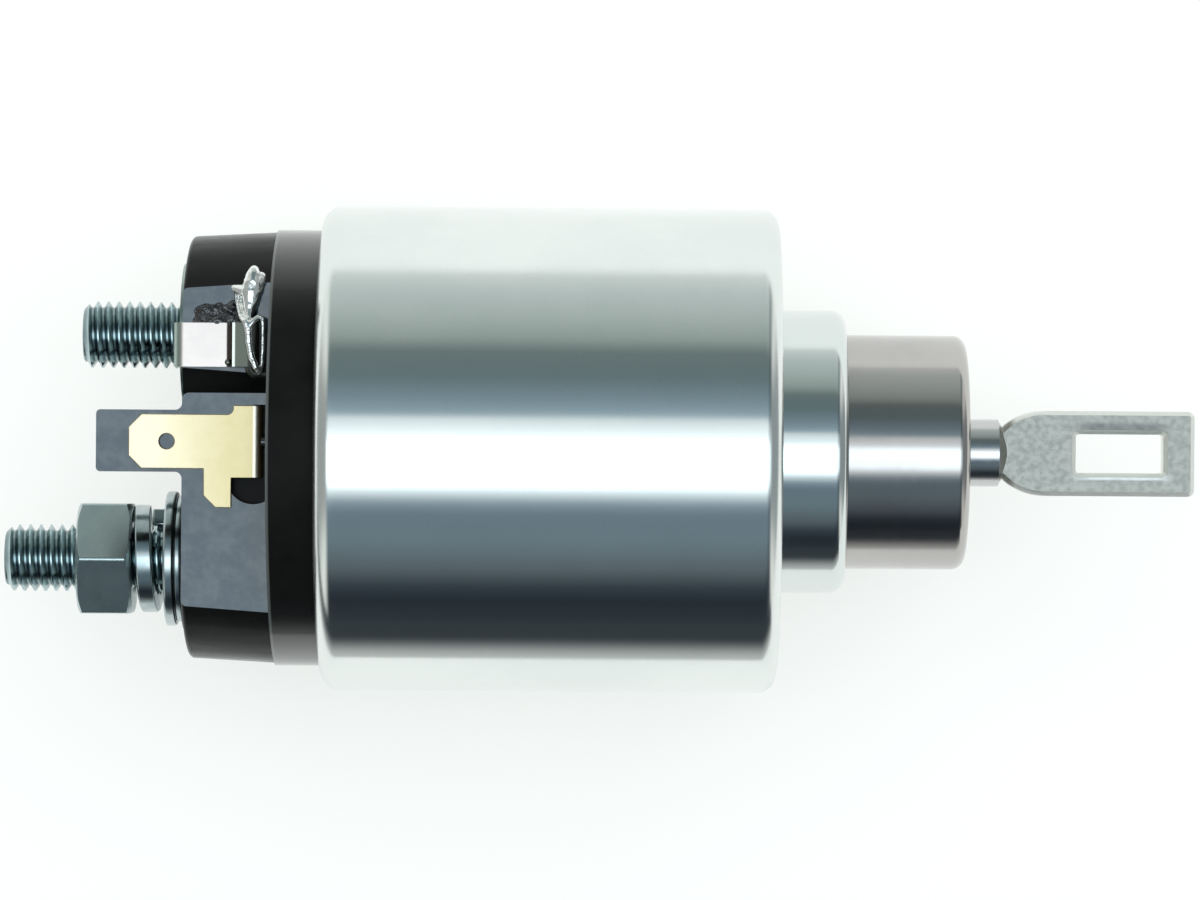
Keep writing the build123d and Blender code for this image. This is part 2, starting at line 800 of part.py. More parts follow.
# Guide bush of the contact rod, in the back of the core
with BuildPart() as rod_guide:
    ring(core_back, core_back + guide_length, guide_radius - seat_fit)
    ring(guide_back, core_back, guide_flange_radius)
    ring(guide_back, core_back + guide_length, contact_rod_radius + slide_fit, mode=Mode.SUBTRACT)
save(rod_guide, "rod_guide")

# Contact rod: the plunger's plug pushes its thick end at the close of the stroke
with BuildPart() as contact_rod:
    rod_step = core_back + guide_length + rod_travel + rod_step_gap
    rod_back = bush_back - clip_thickness - rod_tail
    ring(rod_step, rod_tip, pusher_radius)
    ring(rod_back, rod_step, contact_rod_radius)
    for clip_front in (front_clip_front, bush_back):
        ring(
            clip_front - clip_thickness,
            clip_front,
            contact_rod_radius,
            contact_rod_radius - clip_groove_depth,
            Mode.SUBTRACT,
        )
save(contact_rod, "contact_rod")

# Two clips that hold the springs and the contact on the rod
with BuildPart() as rod_clips:
    for clip_front in (front_clip_front, bush_back):
        with BuildSketch(Plane.YZ.offset(clip_front - clip_thickness)):
            Circle(clip_radius)
            Circle(contact_rod_radius - clip_groove_depth, mode=Mode.SUBTRACT)
            Rectangle(
                2 * clip_radius,
                clip_mouth,
                align=(Align.MIN, Align.CENTER),
                mode=Mode.SUBTRACT,
            )
        extrude(amount=clip_thickness)
save(rod_clips, "rod_clips")

# Contact disc, in its two insulating bushes
with BuildPart() as contact_disc:
    ring(disc_back, disc_front, contact_radius, contact_hole_radius)
save(contact_disc, "contact_disc")

with BuildPart() as contact_bush:
    ring(disc_front, bush_front, bush_flange_radius)
    ring(disc_back, disc_front, contact_hole_radius - seat_fit)
    ring(disc_back, bush_front, contact_rod_radius + slide_fit, mode=Mode.SUBTRACT)
save(contact_bush, "contact_bush")

with BuildPart() as contact_washer:
    ring(bush_back, disc_back, bush_washer_radius, contact_rod_radius + slide_fit)
save(contact_washer, "contact_washer")

# Springs of the contact: one presses it on the studs, the other opens it
with BuildPart() as contact_spring:
    clip_back = front_clip_front - clip_thickness
    coil_spring(bush_front, clip_back, contact_wire, contact_mean, contact_turns)
save(contact_spring, "contact_spring")

with BuildPart() as opening_spring:
    opening_seat = cap_back + pocket_bottom_wall
    coil_spring(opening_seat, bush_back - clip_thickness, opening_wire, opening_mean, opening_turns)
save(opening_spring, "opening_spring")
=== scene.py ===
"""The looks of a starter solenoid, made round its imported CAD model.

Sizes in the making functions are millimetres in the shared frame: X is the axis of the solenoid,
Y goes from stud to stud and Z points away from the table that the solenoid lies on. Places in the
materials, and those of the table, card, lamp and camera, are metres in the same frame.
"""

import json
from math import cos, hypot, pi, radians, sin, sqrt

import bpy
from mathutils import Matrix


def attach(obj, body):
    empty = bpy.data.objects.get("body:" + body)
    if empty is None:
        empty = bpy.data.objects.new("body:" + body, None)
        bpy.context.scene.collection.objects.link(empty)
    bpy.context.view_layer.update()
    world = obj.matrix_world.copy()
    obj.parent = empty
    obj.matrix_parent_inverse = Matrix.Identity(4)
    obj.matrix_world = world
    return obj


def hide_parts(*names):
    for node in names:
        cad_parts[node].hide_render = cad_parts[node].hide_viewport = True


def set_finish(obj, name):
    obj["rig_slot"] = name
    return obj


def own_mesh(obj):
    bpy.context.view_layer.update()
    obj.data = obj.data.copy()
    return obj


MM = 0.001
MICRON = 1e-6
NEAR = 2e-3  # millimetres within which a point counts as being on a place
MERGE = 1e-4  # millimetres within which doubles are merged
STUD_Y = 13.3

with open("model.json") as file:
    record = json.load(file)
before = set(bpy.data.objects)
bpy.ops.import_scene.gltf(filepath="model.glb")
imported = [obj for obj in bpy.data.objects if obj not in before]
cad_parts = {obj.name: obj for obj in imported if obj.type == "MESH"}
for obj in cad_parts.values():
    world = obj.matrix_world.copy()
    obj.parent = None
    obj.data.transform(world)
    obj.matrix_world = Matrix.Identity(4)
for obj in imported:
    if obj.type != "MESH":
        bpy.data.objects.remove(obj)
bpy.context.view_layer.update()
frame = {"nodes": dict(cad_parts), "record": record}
nodes = frame["nodes"]
slots = {entry["node"]: entry["material_slot"] for entry in frame["record"]["subparts"]}


# ---------------------------------------------------------------- Modelling by hand


def start_piece():
    """Leaves nothing selected, so that an operator only acts on the piece that comes next."""
    if bpy.context.object and bpy.context.object.mode != "OBJECT":
        bpy.ops.object.mode_set(mode="OBJECT")
    bpy.ops.object.select_all(action="DESELECT")


def pick(piece):
    """Makes the piece the active one, and the only one that is selected."""
    start_piece()
    piece.select_set(True)
    bpy.context.view_layer.objects.active = piece


def edit(piece, kind="VERT"):
    pick(piece)
    bpy.ops.object.mode_set(mode="EDIT")
    bpy.ops.mesh.select_mode(type=kind)


def edit_all(piece):
    edit(piece)
    bpy.ops.mesh.select_all(action="SELECT")


def select_where(piece, test, kind="EDGE"):
    """Goes into edit mode with what lies wholly inside the test selected."""
    edit(piece, kind)
    bpy.ops.mesh.select_all(action="DESELECT")
    bpy.ops.object.mode_set(mode="OBJECT")
    mesh = piece.data
    parts = mesh.vertices if kind == "VERT" else mesh.edges
    for part in parts:
        corners = [part.index] if kind == "VERT" else part.vertices
        part.select = all(test(mesh.vertices[i].co / MM) for i in corners)
    bpy.ops.object.mode_set(mode="EDIT")


def extrude(x, y, z):
    """Extrudes what is selected by so many millimetres."""
    bpy.ops.mesh.extrude_region_move(TRANSFORM_OT_translate={"value": (x * MM, y * MM, z * MM)})


def apply_modifier(piece, kind, **settings):
    pick(piece)
    modifier = piece.modifiers.new(kind.lower(), kind)
    for key, value in settings.items():
        setattr(modifier, key, value)
    bpy.ops.object.modifier_apply(modifier=modifier.name)


def add_circle(name, x, radius, y=0.0, z=0.0, sides=96, turn=0.0):
    """A bare circle round the X direction. With no turn it has a corner towards +Y."""
    start_piece()
    place = (x * MM, y * MM, z * MM)
    bpy.ops.mesh.primitive_circle_add(
        vertices=sides, radius=radius * MM, location=place, rotation=(0, pi / 2, 0)
    )
    piece = bpy.context.object
    piece.name = piece.data.name = name
    bpy.ops.object.transform_apply()
    if turn:
        edit_all(piece)
        bpy.ops.transform.rotate(value=turn, orient_axis="X", center_override=place)
        start_piece()
    return piece


def tidy_mesh(piece):
    """Merges doubles and turns every face outwards."""
    edit_all(piece)
    bpy.ops.mesh.remove_doubles(threshold=MERGE * MM)
    bpy.ops.mesh.normals_make_consistent(inside=False)
    start_piece()


def turned(name, outline, y=0.0, z=0.0, sides=96, turn=0.0):
    """Extrudes a circle from one (x, radius) of the outline to the next. An outline that comes back
    to its start makes a ring, and any other is closed with a flat face at both ends."""
    piece = add_circle(name, *outline[0], y, z, sides, turn)
    edit_all(piece)
    if outline[0] != outline[-1]:
        bpy.ops.mesh.edge_face_add()
    for (x0, r0), (x1, r1) in zip(outline, outline[1:]):
        extrude(x1 - x0, 0, 0)
        centre = (x1 * MM, y * MM, z * MM)
        bpy.ops.transform.resize(value=(1, r1 / r0, r1 / r0), center_override=centre)
    tidy_mesh(piece)
    return piece


def round_rim(piece, x, radius, size, segments):
    """Rounds the circular edge at that x and radius about the X axis."""

    def on_rim(p):
        return abs(p.x - x) < NEAR and abs(hypot(p.y, p.z) - radius) < NEAR

    select_where(piece, on_rim)
    bpy.ops.mesh.bevel(offset=size * MM, segments=segments, affect="EDGES")
    start_piece()


def carve(piece, tool, operation="DIFFERENCE"):
    """Cuts with a tool piece, adds it or keeps only what lies inside it, and clears it away."""
    apply_modifier(piece, "BOOLEAN", object=tool, operation=operation, solver="EXACT")
    bpy.data.objects.remove(tool)


def break_edges(piece, size, segments=2, angle=32):
    """A small bevel on every sharp edge, as tumbling or moulding leaves."""
    apply_modifier(
        piece,
        "BEVEL",
        width=size * MM,
        segments=segments,
        limit_method="ANGLE",
        angle_limit=radians(angle),
        harden_normals=False,
    )


def merge_flats(piece):
    """Makes one face of each flat that a cut left in several."""
    edit_all(piece)
    bpy.ops.mesh.dissolve_limited(angle_limit=radians(0.4))
    start_piece()


def smooth(piece, angle=32):
    pick(piece)
    bpy.ops.object.shade_smooth_by_angle(angle=radians(angle))
    start_piece()


def even_shading(piece, angle=32):
    """Smooth shading in which the large flat faces stay flat."""
    smooth(piece, angle)
    apply_modifier(piece, "WEIGHTED_NORMAL", mode="FACE_AREA", weight=50, keep_sharp=True)


def join(name, *pieces):
    start_piece()
    for piece in pieces:
        piece.select_set(True)
    bpy.context.view_layer.objects.active = pieces[0]
    bpy.ops.object.join()
    joined = bpy.context.object
    joined.name = joined.data.name = name
    start_piece()
    return joined


def stand_for(piece, node):
    """The piece is shown in place of a CAD node, on the node's body and in its slot."""
    bodies = frame["record"]["behaviour"]["bodies"]
    body = next(name for name, members in bodies.items() if node in members)
    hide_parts(node)
    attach(piece, body)
    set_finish(piece, slots[node])
    return piece


def copy_of(node_name, name):
    """The node's own shape as a new mesh of merged, whole faces."""
    start_piece()
    source = nodes[node_name]
    piece = bpy.data.objects.new(name, source.data.copy())
    piece.data.name = name
    bpy.context.scene.collection.objects.link(piece)
    edit_all(piece)
    bpy.ops.mesh.customdata_custom_splitnormals_clear()
    bpy.ops.mesh.remove_doubles(threshold=NEAR * MM)
    bpy.ops.mesh.mark_sharp(clear=True)
    bpy.ops.mesh.dissolve_limited(angle_limit=radians(0.6))
    start_piece()
    return piece


def softened(node, name, size, edge_angle, shade_angle):
    """The node's own shape, with a small bevel on its sharp edges."""
    piece = copy_of(node, name)
    break_edges(piece, size, 3, edge_angle)
    even_shading(piece, shade_angle)
    return stand_for(piece, node)


def profile_line(name, points, y=0.0):
    """A bare line drawn through (x, z) points from a plane that is merged to its centre."""
    start_piece()
    x0, z0 = points[0]
    bpy.ops.mesh.primitive_plane_add(size=0.1 * MM, location=(x0 * MM, y * MM, z0 * MM))
    piece = bpy.context.object
    piece.name = piece.data.name = name
    bpy.ops.object.transform_apply()
    edit_all(piece)
    bpy.ops.mesh.merge(type="CENTER")
    for (x0, z0), (x1, z1) in zip(points, points[1:]):
        extrude(x1 - x0, 0, z1 - z0)
    start_piece()
    return piece


def screw_round(piece, y, rise, turns, steps, angle=2 * pi):
    """Winds the piece round the X direction at height y."""
    bpy.context.scene.cursor.location = (0, y * MM, 0)
    pick(piece)
    bpy.ops.object.origin_set(type="ORIGIN_CURSOR")
    apply_modifier(
        piece,
        "SCREW",
        axis="X",
        angle=angle,
        screw_offset=rise * MM,
        iterations=turns,
        steps=steps,
        render_steps=steps,
        use_merge_vertices=True,
        merge_threshold=MERGE * MM,
        use_smooth_shade=False,
    )
    pick(piece)
    bpy.ops.object.transform_apply()
    bpy.context.scene.cursor.location = (0, 0, 0)


def close_ends(piece):
    """Fills the two open ends that winding a profile leaves."""
    edit(piece, "EDGE")
    bpy.ops.mesh.select_all(action="DESELECT")
    bpy.ops.mesh.select_non_manifold()
    bpy.ops.mesh.fill_holes(sides=0)
    tidy_mesh(piece)


# ---------------------------------------------------------------- Case and collar


def make_case():
    back, front, collar_end = -53.9, 0.0, 8.0
    outside, collar, bore, mouth = 28.75, 16.8, 14.53, 25.95
    case = turned(
        "drawn_case",
        [
            (-4.5, bore),
            (collar_end, bore),
            (collar_end, collar),
            (front, collar),
            (front, outside),
            (back, outside),
            (back, mouth),
            (-52.0, mouth),
            (-52.0, 27.35),
            (-42.8, 27.35),
            (-42.8, 26.0),
            (-4.5, 26.0),
            (-4.5, bore),
        ],
        sides=192,
    )
    round_rim(case, front, outside, 2.2, 9)
    round_rim(case, back, outside, 2.2, 9)
    round_rim(case, collar_end, collar, 1.7, 8)
    round_rim(case, collar_end, bore, 0.35, 3)
    round_rim(case, front, collar, 0.3, 3)
    round_rim(case, back, mouth, 0.6, 4)
    for bolt_z in (-22.0, 22.0):
        steps = [(-6.0, 2.5), (-0.6, 2.5), (0.0, 3.1), (1.0, 4.1)]
        carve(case, turned("drill", steps, z=bolt_z, sides=48))
    even_shading(case, 30)
    return stand_for(case, "case")


# ---------------------------------------------------------------- Studs and hardware


def make_thread(name, start, end, y):
    """An M8 thread between two stations: a screwed tooth, cut by a blank with a chamfered tip."""
    pitch, root, crest = 1.25, 3.25, 3.97
    first = start - 2 * pitch
    tooth = profile_line(
        name,
        [
            (first, root),
            (first + 0.09 * pitch, root),
            (first + 0.44 * pitch, crest),
            (first + 0.56 * pitch, crest),
            (first + 0.91 * pitch, root),
            (first + pitch, root),
        ],
        y,
    )
    screw_round(tooth, y, pitch, int((end - start) / pitch) + 5, steps=56)
    close_ends(tooth)
    blank = turned("blank", [(start, 3.1), (start + 0.95, 4.05), (end, 4.05)], y)
    carve(tooth, blank, "INTERSECT")
    return tooth


def make_stud(name, node, y, tip, thread_end):
    thread = make_thread("thread", tip, thread_end, y)
    shank = turned("shank", [(thread_end - 0.4, 3.5), (-63.0, 3.5)], y, sides=64)
    corner = 12 / sqrt(3)
    head = turned("head", [(-64.6, corner), (-61.6, corner)], y, sides=6)
    break_edges(head, 0.25)
    stud = join(name, thread, shank, head)
    smooth(stud, 28)
    return stand_for(stud, node)


def make_nut():
    y = -STUD_Y
    back, front = -82.8, -76.3
    face, corner = 6.3, 13 / sqrt(3)
    nut = turned("nut", [(back, corner), (front, corner)], y, sides=6, turn=pi / 6)
    break_edges(nut, 0.28, 4, 50)
    # Between its two chamfers the envelope stands just clear of the corners
    rise, past = (corner - 6.35) * 0.58, corner + 0.02
    envelope = [(back, face), (back + rise, past), (front - rise, past), (front, face)]
    carve(nut, turned("envelope", envelope, y), "INTERSECT")
    hole, sunk = 4.03, 5.0
    bore = [(back - 0.8, sunk), (back + 0.6, hole), (front - 0.6, hole), (front + 0.8, sunk)]
    carve(nut, turned("bore", bore, y, sides=64))
    tidy_mesh(nut)
    merge_flats(nut)
    even_shading(nut, 24)
    return stand_for(nut, "battery_nut")


def flat_ring(name, back, front, radius):
    """A plain ring round the battery stud."""
    hole = 4.2
    outline = [(back, hole), (back, radius), (front, radius), (front, hole), (back, hole)]
    return turned(name, outline, -STUD_Y, sides=128)


def make_washers():
    plain = flat_ring("flat_washer", -72.4, -71.1, 8.0)
    break_edges(plain, 0.3, 3)
    even_shading(plain)

    thin = flat_ring("thin_ring", -71.1, -70.3, 7.5)
    break_edges(thin, 0.15, 2)
    smooth(thin)

    # One coil with a gap of 14 degrees, on the side of the other stud and a little low
    y = -STUD_Y
    back, front, inside, outside = -76.28, -74.32, 4.25, 6.38
    coil = profile_line(
        "spring_washer",
        [(back, inside), (front, inside), (front, outside), (back, outside), (back, inside)],
        y,
    )
    tidy_mesh(coil)
    screw_round(coil, y, 1.88, 1, steps=96, angle=radians(346))
    close_ends(coil)
    edit_all(coil)
    bpy.ops.transform.rotate(
        value=pi / 2 + radians(7), orient_axis="X", center_override=(0, y * MM, 0)
    )
    break_edges(coil, 0.3, 3)
    even_shading(coil)
    return (
        stand_for(plain, "battery_washer"),
        stand_for(thin, "battery_ring"),
        stand_for(coil, "battery_lock_washer"),
    )


# ---------------------------------------------------------------- Strap and lead


def make_strap():
    """A strip bent over the edge of the cap and hooked round the wire, on a lug round the stud."""
    low, width, thick = 9.3, 5.1, 1.0
    middle, face, bend_radius = 17.5, -70.0, 0.8
    wire_x, wire_z = -61.5, 18.7
    bend = [
        (
            face + bend_radius - bend_radius * cos(i * pi / 16),
            middle - bend_radius + bend_radius * sin(i * pi / 16),
        )
        for i in range(9)
    ]
    strip = profile_line("bent_strap", [(face, 6.0), *bend, (wire_x, middle)], low)

    def at_hook(p):
        return abs(p.x - wire_x) < NEAR and abs(p.z - middle) < NEAR

    select_where(strip, at_hook, "VERT")
    hook_centre = (wire_x * MM, low * MM, wire_z * MM)
    bpy.ops.mesh.spin(steps=14, angle=pi, center=hook_centre, axis=(0, 1, 0))
    extrude(-2.0, 0, 0)
    bpy.ops.mesh.select_all(action="SELECT")
    extrude(0, width, 0)
    tidy_mesh(strip)
    apply_modifier(strip, "SOLIDIFY", thickness=thick * MM, offset=0.0, use_even_offset=True)
    lug = turned("lug", [(face - thick / 2, 8.5), (face + thick / 2, 8.5)], STUD_Y)
    carve(strip, lug, "UNION")
    bore = turned("bore", [(face - thick, 4.05), (face + thick, 4.05)], STUD_Y, sides=64)
    carve(strip, bore)
    tidy_mesh(strip)
    merge_flats(strip)
    break_edges(strip, 0.15, 3, 40)
    even_shading(strip, 30)
    return stand_for(strip, "motor_strap")


def make_lead():
    """The lead as it is, but cut off where the solder holds it."""
    lead = copy_of("pull_in_lead", "soldered_lead")
    select_where(lead, lambda p: p.y > 20.5, "VERT")
    bpy.ops.transform.translate(value=(0, -1.7 * MM, 0))
    start_piece()
    smooth(lead, 40)
    return stand_for(lead, "pull_in_lead")


# ---------------------------------------------------------------- Plunger and springs


def make_plunger():
    back, nose, outside = -13.7, 22.3, 13.9
    plunger = turned(
        "turned_plunger",
        [
            (back, 12.0),
            (back, outside),
            (nose, outside),
            (nose, 5.08),
            (21.3, 4.08),
            (12.3, 4.08),
            (12.3, 7.6),
            (-11.7, 7.6),
            (-11.7, 8.2),
            (back, 8.2),
            (back, 9.2),
            (-8.7, 9.2),
            (-8.7, 12.0),
            (back, 12.0),
        ],
        sides=160,
    )
    round_rim(plunger, nose, outside, 1.5, 8)
    round_rim(plunger, back, outside, 0.4, 3)
    even_shading(plunger, 30)
    return stand_for(plunger, "plunger")


def make_spring(name, node, start, end, wire, mean, turns, joint, anchor, travel):
    """A coil spring, wound between start and end along X. wire and mean are the radius of the wire
    and that of the coil through its middle."""
    first = start + wire
    last = end - wire
    coil = add_circle(name, 0, wire, sides=12)
    edit_all(coil)
    bpy.ops.transform.rotate(value=pi / 2, orient_axis="Y", center_override=(0, 0, 0))
    bpy.ops.transform.rotate(value=pi / 2, orient_axis="Z", center_override=(0, 0, 0))
    bpy.ops.transform.translate(value=(first * MM, 0, mean * MM))
    screw_round(coil, 0.0, (last - first) / turns, turns, steps=36)
    close_ends(coil)
    smooth(coil, 50)
    stand_for(coil, node)
    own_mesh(coil)
    return coil


# In the order of make_spring's arguments
springs = [
    ("return_coil", "return_spring", -32.0, -8.7, 0.75, 10.6, 5, "plunger_slide", -32.0, 11.0),
    ("release_coil", "release_spring", -7.9, 12.3, 0.8, 5.85, 7, "link_release", 12.3, 4.0),
    (
        "contact_coil", "contact_spring", -55.4, -50.1, 0.45, 3.5, 4,
        "contact_disc_slide", -50.1, 0.83,
    ),
    ("opening_coil", "opening_spring", -67.9, -61.3, 0.4, 2.95, 4, "contact_rod_slide", -67.9, 2.8),
]


# ---------------------------------------------------------------- Solder and resin


def beads(runs):
    """Balls close together along each run, which is a path of (x, y, z, width, height) points."""
    spacing = 0.32
    balls = []
    for run in runs:
        for start, end in zip(run, run[1:]):
            count = max(1, round(hypot(end[0] - start[0], end[1] - start[1]) / spacing))
            for i in range(count):
                x, y, z, width, height = (a + (b - a) * i / count for a, b in zip(start, end))
                balls.append((x, y, z, width, width, height))
        x, y, z, width, height = run[-1]
        balls.append((x, y, z, width, width, height))
    return balls


def lump(name, runs, grain, melt, ripple_size, ripple_depth):
    """A solid blob of beads melted into one. grain is the size of its faces and melt how often it
    is smoothed."""
    pieces = []
    for x, y, z, *size in beads(runs):
        start_piece()
        bpy.ops.mesh.primitive_uv_sphere_add(
            segments=24, ring_count=16, radius=0.5 * MM, location=(x * MM, y * MM, z * MM)
        )
        ball = bpy.context.object
        ball.scale = size
        bpy.ops.object.transform_apply()
        pieces.append(ball)
    blob = join(name, *pieces)
    apply_modifier(blob, "REMESH", mode="VOXEL", voxel_size=grain * MM)
    apply_modifier(blob, "SMOOTH", factor=0.6, iterations=melt)
    ripples = bpy.data.textures.new(name + " ripples", "CLOUDS")
    ripples.noise_scale = ripple_size * MM
    apply_modifier(blob, "DISPLACE", texture=ripples, strength=ripple_depth * MM, mid_level=0.5)
    apply_modifier(blob, "SMOOTH", factor=0.5, iterations=1)
    smooth(blob, 180)
    return blob


def make_solder():
    """A blob on the wire's end that runs down over the hook in two ridges."""
    runs = {
        "blob": [
            (-61.15, 20.5, 18.8, 1.1, 1.1),
            (-61.2, 19.9, 19.0, 1.7, 1.6),
            (-61.35, 19.0, 19.1, 2.1, 1.8),
            (-61.5, 18.0, 19.1, 2.4, 2.0),
            (-61.55, 16.9, 19.0, 2.0, 2.1),
            (-61.65, 15.9, 19.0, 1.4, 2.2),
            (-61.7, 15.1, 19.4, 0.9, 2.0),
        ],
        "shoulder": [
            (-60.3, 19.8, 18.6, 1.0, 1.1),
            (-60.6, 19.1, 18.7, 1.4, 1.5),
            (-60.9, 18.2, 18.8, 1.5, 1.7),
        ],
        "spike": [(-62.3, 18.0, 18.9, 1.4, 1.5), (-63.4, 18.4, 18.5, 0.8, 0.8)],
        "flank": [
            (-62.6, 17.6, 17.9, 1.4, 1.4),
            (-62.4, 16.4, 18.2, 1.3, 1.6),
            (-62.1, 15.4, 18.8, 1.1, 1.8),
        ],
        "flank edge": [
            (-63.15, 18.0, 18.2, 0.75, 0.9),
            (-62.95, 16.6, 18.6, 0.7, 1.0),
            (-62.6, 15.2, 19.3, 0.7, 1.1),
            (-62.1, 14.5, 20.2, 0.75, 0.9),
        ],
        "stud side": [
            (-62.0, 14.5, 20.3, 0.9, 0.9),
            (-61.7, 13.7, 20.4, 0.9, 0.8),
            (-61.6, 11.9, 20.4, 0.9, 0.8),
            (-61.25, 10.3, 20.4, 0.85, 0.8),
            (-60.8, 9.25, 20.2, 0.8, 0.9),
            (-60.35, 8.7, 19.6, 0.8, 1.2),
        ],
        "cross": [
            (-60.05, 14.8, 19.7, 0.7, 1.0),
            (-60.6, 15.0, 20.0, 0.7, 0.9),
            (-61.1, 14.6, 20.2, 0.75, 0.9),
            (-61.7, 13.9, 20.4, 0.75, 0.8),
        ],
        "case side": [
            (-60.05, 14.8, 19.7, 0.65, 0.9),
            (-60.0, 13.6, 19.7, 0.6, 0.8),
            (-60.0, 11.5, 19.7, 0.6, 0.8),
            (-60.1, 9.6, 19.7, 0.6, 0.8),
            (-60.35, 8.7, 19.6, 0.8, 1.2),
        ],
        "drop": [(-64.1, 9.8, 17.9, 0.9, 0.8)],
    }
    solder = lump("soft_solder", runs.values(), 0.09, 3, ripple_size=1.0, ripple_depth=0.16)
    return stand_for(solder, "solder_joint")


def make_resin():
    """A wrinkled film on the flat that laps up the edge of the strap."""
    runs = {
        "strap edge": [
            (-67.6, 14.5, 17.2, 1.5, 1.3),
            (-65.5, 14.5, 17.3, 1.6, 1.4),
            (-62.9, 14.5, 17.3, 1.7, 1.4),
        ],
        "stud side": [
            (-67.3, 15.5, 17.0, 1.9, 0.7),
            (-66.7, 16.1, 17.0, 1.3, 0.7),
            (-66.0, 15.4, 17.0, 2.0, 0.8),
        ],
        "middle": [
            (-66.0, 15.4, 17.0, 1.9, 0.8),
            (-65.3, 16.1, 17.0, 1.3, 0.7),
            (-64.6, 15.5, 17.0, 1.9, 0.9),
        ],
        "solder side": [
            (-64.6, 15.5, 17.0, 1.9, 0.8),
            (-63.8, 16.2, 17.0, 1.5, 0.8),
            (-62.9, 15.9, 17.0, 1.8, 0.9),
        ],
        "corner": [(-63.8, 16.2, 17.0, 1.4, 0.6), (-63.1, 16.8, 17.0, 1.2, 0.6)],
    }
    resin = lump("dried_resin", runs.values(), 0.08, 4, ripple_size=0.7, ripple_depth=0.5)
    return stand_for(resin, "sealing_resin")


# ---------------------------------------------------------------- Material helpers


def group_of(name, inputs, outputs):
    """An empty node group with its sockets: name -> (kind, default)."""
    group = bpy.data.node_groups.new(name, "ShaderNodeTree")
    for label, (kind, default) in inputs.items():
        socket = group.interface.new_socket(label, in_out="INPUT", socket_type="NodeSocket" + kind)
        if default is not None:
            socket.default_value = default
    for label, kind in outputs.items():
        group.interface.new_socket(label, in_out="OUTPUT", socket_type="NodeSocket" + kind)
    return group


def node(tree, kind, **settings):
    made = tree.nodes.new("ShaderNode" + kind)
    for key, value in settings.items():
        setattr(made, key, value)
    return made


def feed(tree, sockets, values):
    """Sets each socket to its number or colour, or links it."""
    for socket, value in zip(sockets, values):
        if isinstance(value, (int, float)):
            socket.default_value = value
        elif isinstance(value, tuple):
            socket.default_value = (*value, 1)
        else:
            tree.links.new(value, socket)


def math(tree, operation, *values):
    made = node(tree, "Math", operation=operation)
    feed(tree, made.inputs, values)
    return made.outputs[0]


def times(tree, first, *others):
    for other in others:
        first = math(tree, "MULTIPLY", first, other)
    return first


def plus(tree, first, *others):
    for other in others:
        first = math(tree, "ADD", first, other)
    return first


def minus(tree, a, b):
    return math(tree, "SUBTRACT", a, b)


def mix_colour(tree, factor, a, b):
    made = node(tree, "Mix", data_type="RGBA")
    feed(tree, (made.inputs[0], made.inputs[6], made.inputs[7]), (factor, a, b))
    return made.outputs[2]


def mix_shader(tree, share, a, b):
    made = node(tree, "MixShader")
    feed(tree, made.inputs, (share, a.outputs[0], b.outputs[0]))
    return made.outputs[0]


def noise(tree, vector, scale, detail, roughness, kind="3D"):
    made = node(tree, "TexNoise", noise_dimensions=kind)
    made.inputs["Scale"].default_value = scale
    made.inputs["Detail"].default_value = detail
    made.inputs["Roughness"].default_value = roughness
    tree.links.new(vector, made.inputs["W" if kind == "1D" else "Vector"])
    return made.outputs[0]


def ramp(tree, factor, at_zero, at_one):
    """0 on the at_zero side of the two values, 1 on the at_one side and a soft rise between."""
    made = node(tree, "MapRange", interpolation_type="SMOOTHSTEP")
    made.inputs["From Min"].default_value = at_zero
    made.inputs["From Max"].default_value = at_one
    tree.links.new(factor, made.inputs["Value"])
    return made.outputs[0]


def xyz(tree, vector):
    split = node(tree, "SeparateXYZ")
    tree.links.new(vector, split.inputs[0])
    return split.outputs


def make_turning_marks():
    """Rings round the X axis, as a lathe or a drawing die leaves, with the odd deeper one."""
    group = group_of(
        "turning marks",
        {"Vector": ("Vector", None), "Spacing": ("Float", 4000.0), "Deep": ("Float", 0.4)},
        {"Height": "Float", "Streak": "Float"},
    )
    inside = group.nodes.new("NodeGroupInput")
    out = group.nodes.new("NodeGroupOutput")
    along = times(group, xyz(group, inside.outputs["Vector"])[0], inside.outputs["Spacing"])
    fine = noise(group, along, 1.0, 2.0, 0.6, "1D")
    broad = noise(group, times(group, along, 0.11), 1.0, 3.0, 0.6, "1D")
    sunk = times(group, ramp(group, broad, 0.62, 0.7), inside.outputs["Deep"])
    group.links.new(minus(group, fine, sunk), out.inputs["Height"])
    group.links.new(broad, out.inputs["Streak"])
    return group


def make_handling():
    """Soft cloudy patches and small specks, for finger marks, plating cloud and dust."""
    group = group_of(
        "handling",
        {
            "Vector": ("Vector", None),
            "Patch Size": ("Float", 90.0),
            "Speck Size": ("Float", 2600.0),
        },
        {"Patch": "Float", "Speck": "Float"},
    )
    inside = group.nodes.new("NodeGroupInput")
    out = group.nodes.new("NodeGroupOutput")

    def scaled(size):
        made = node(group, "VectorMath", operation="SCALE")
        group.links.new(inside.outputs["Vector"], made.inputs[0])
        group.links.new(inside.outputs[size], made.inputs["Scale"])
        return made.outputs[0]

    patch = noise(group, scaled("Patch Size"), 1.0, 4.0, 0.6)
    speck = noise(group, scaled("Speck Size"), 1.0, 1.0, 0.5)
    group.links.new(ramp(group, patch, 0.36, 0.66), out.inputs["Patch"])
    group.links.new(ramp(group, speck, 0.6, 0.75), out.inputs["Speck"])
    return group


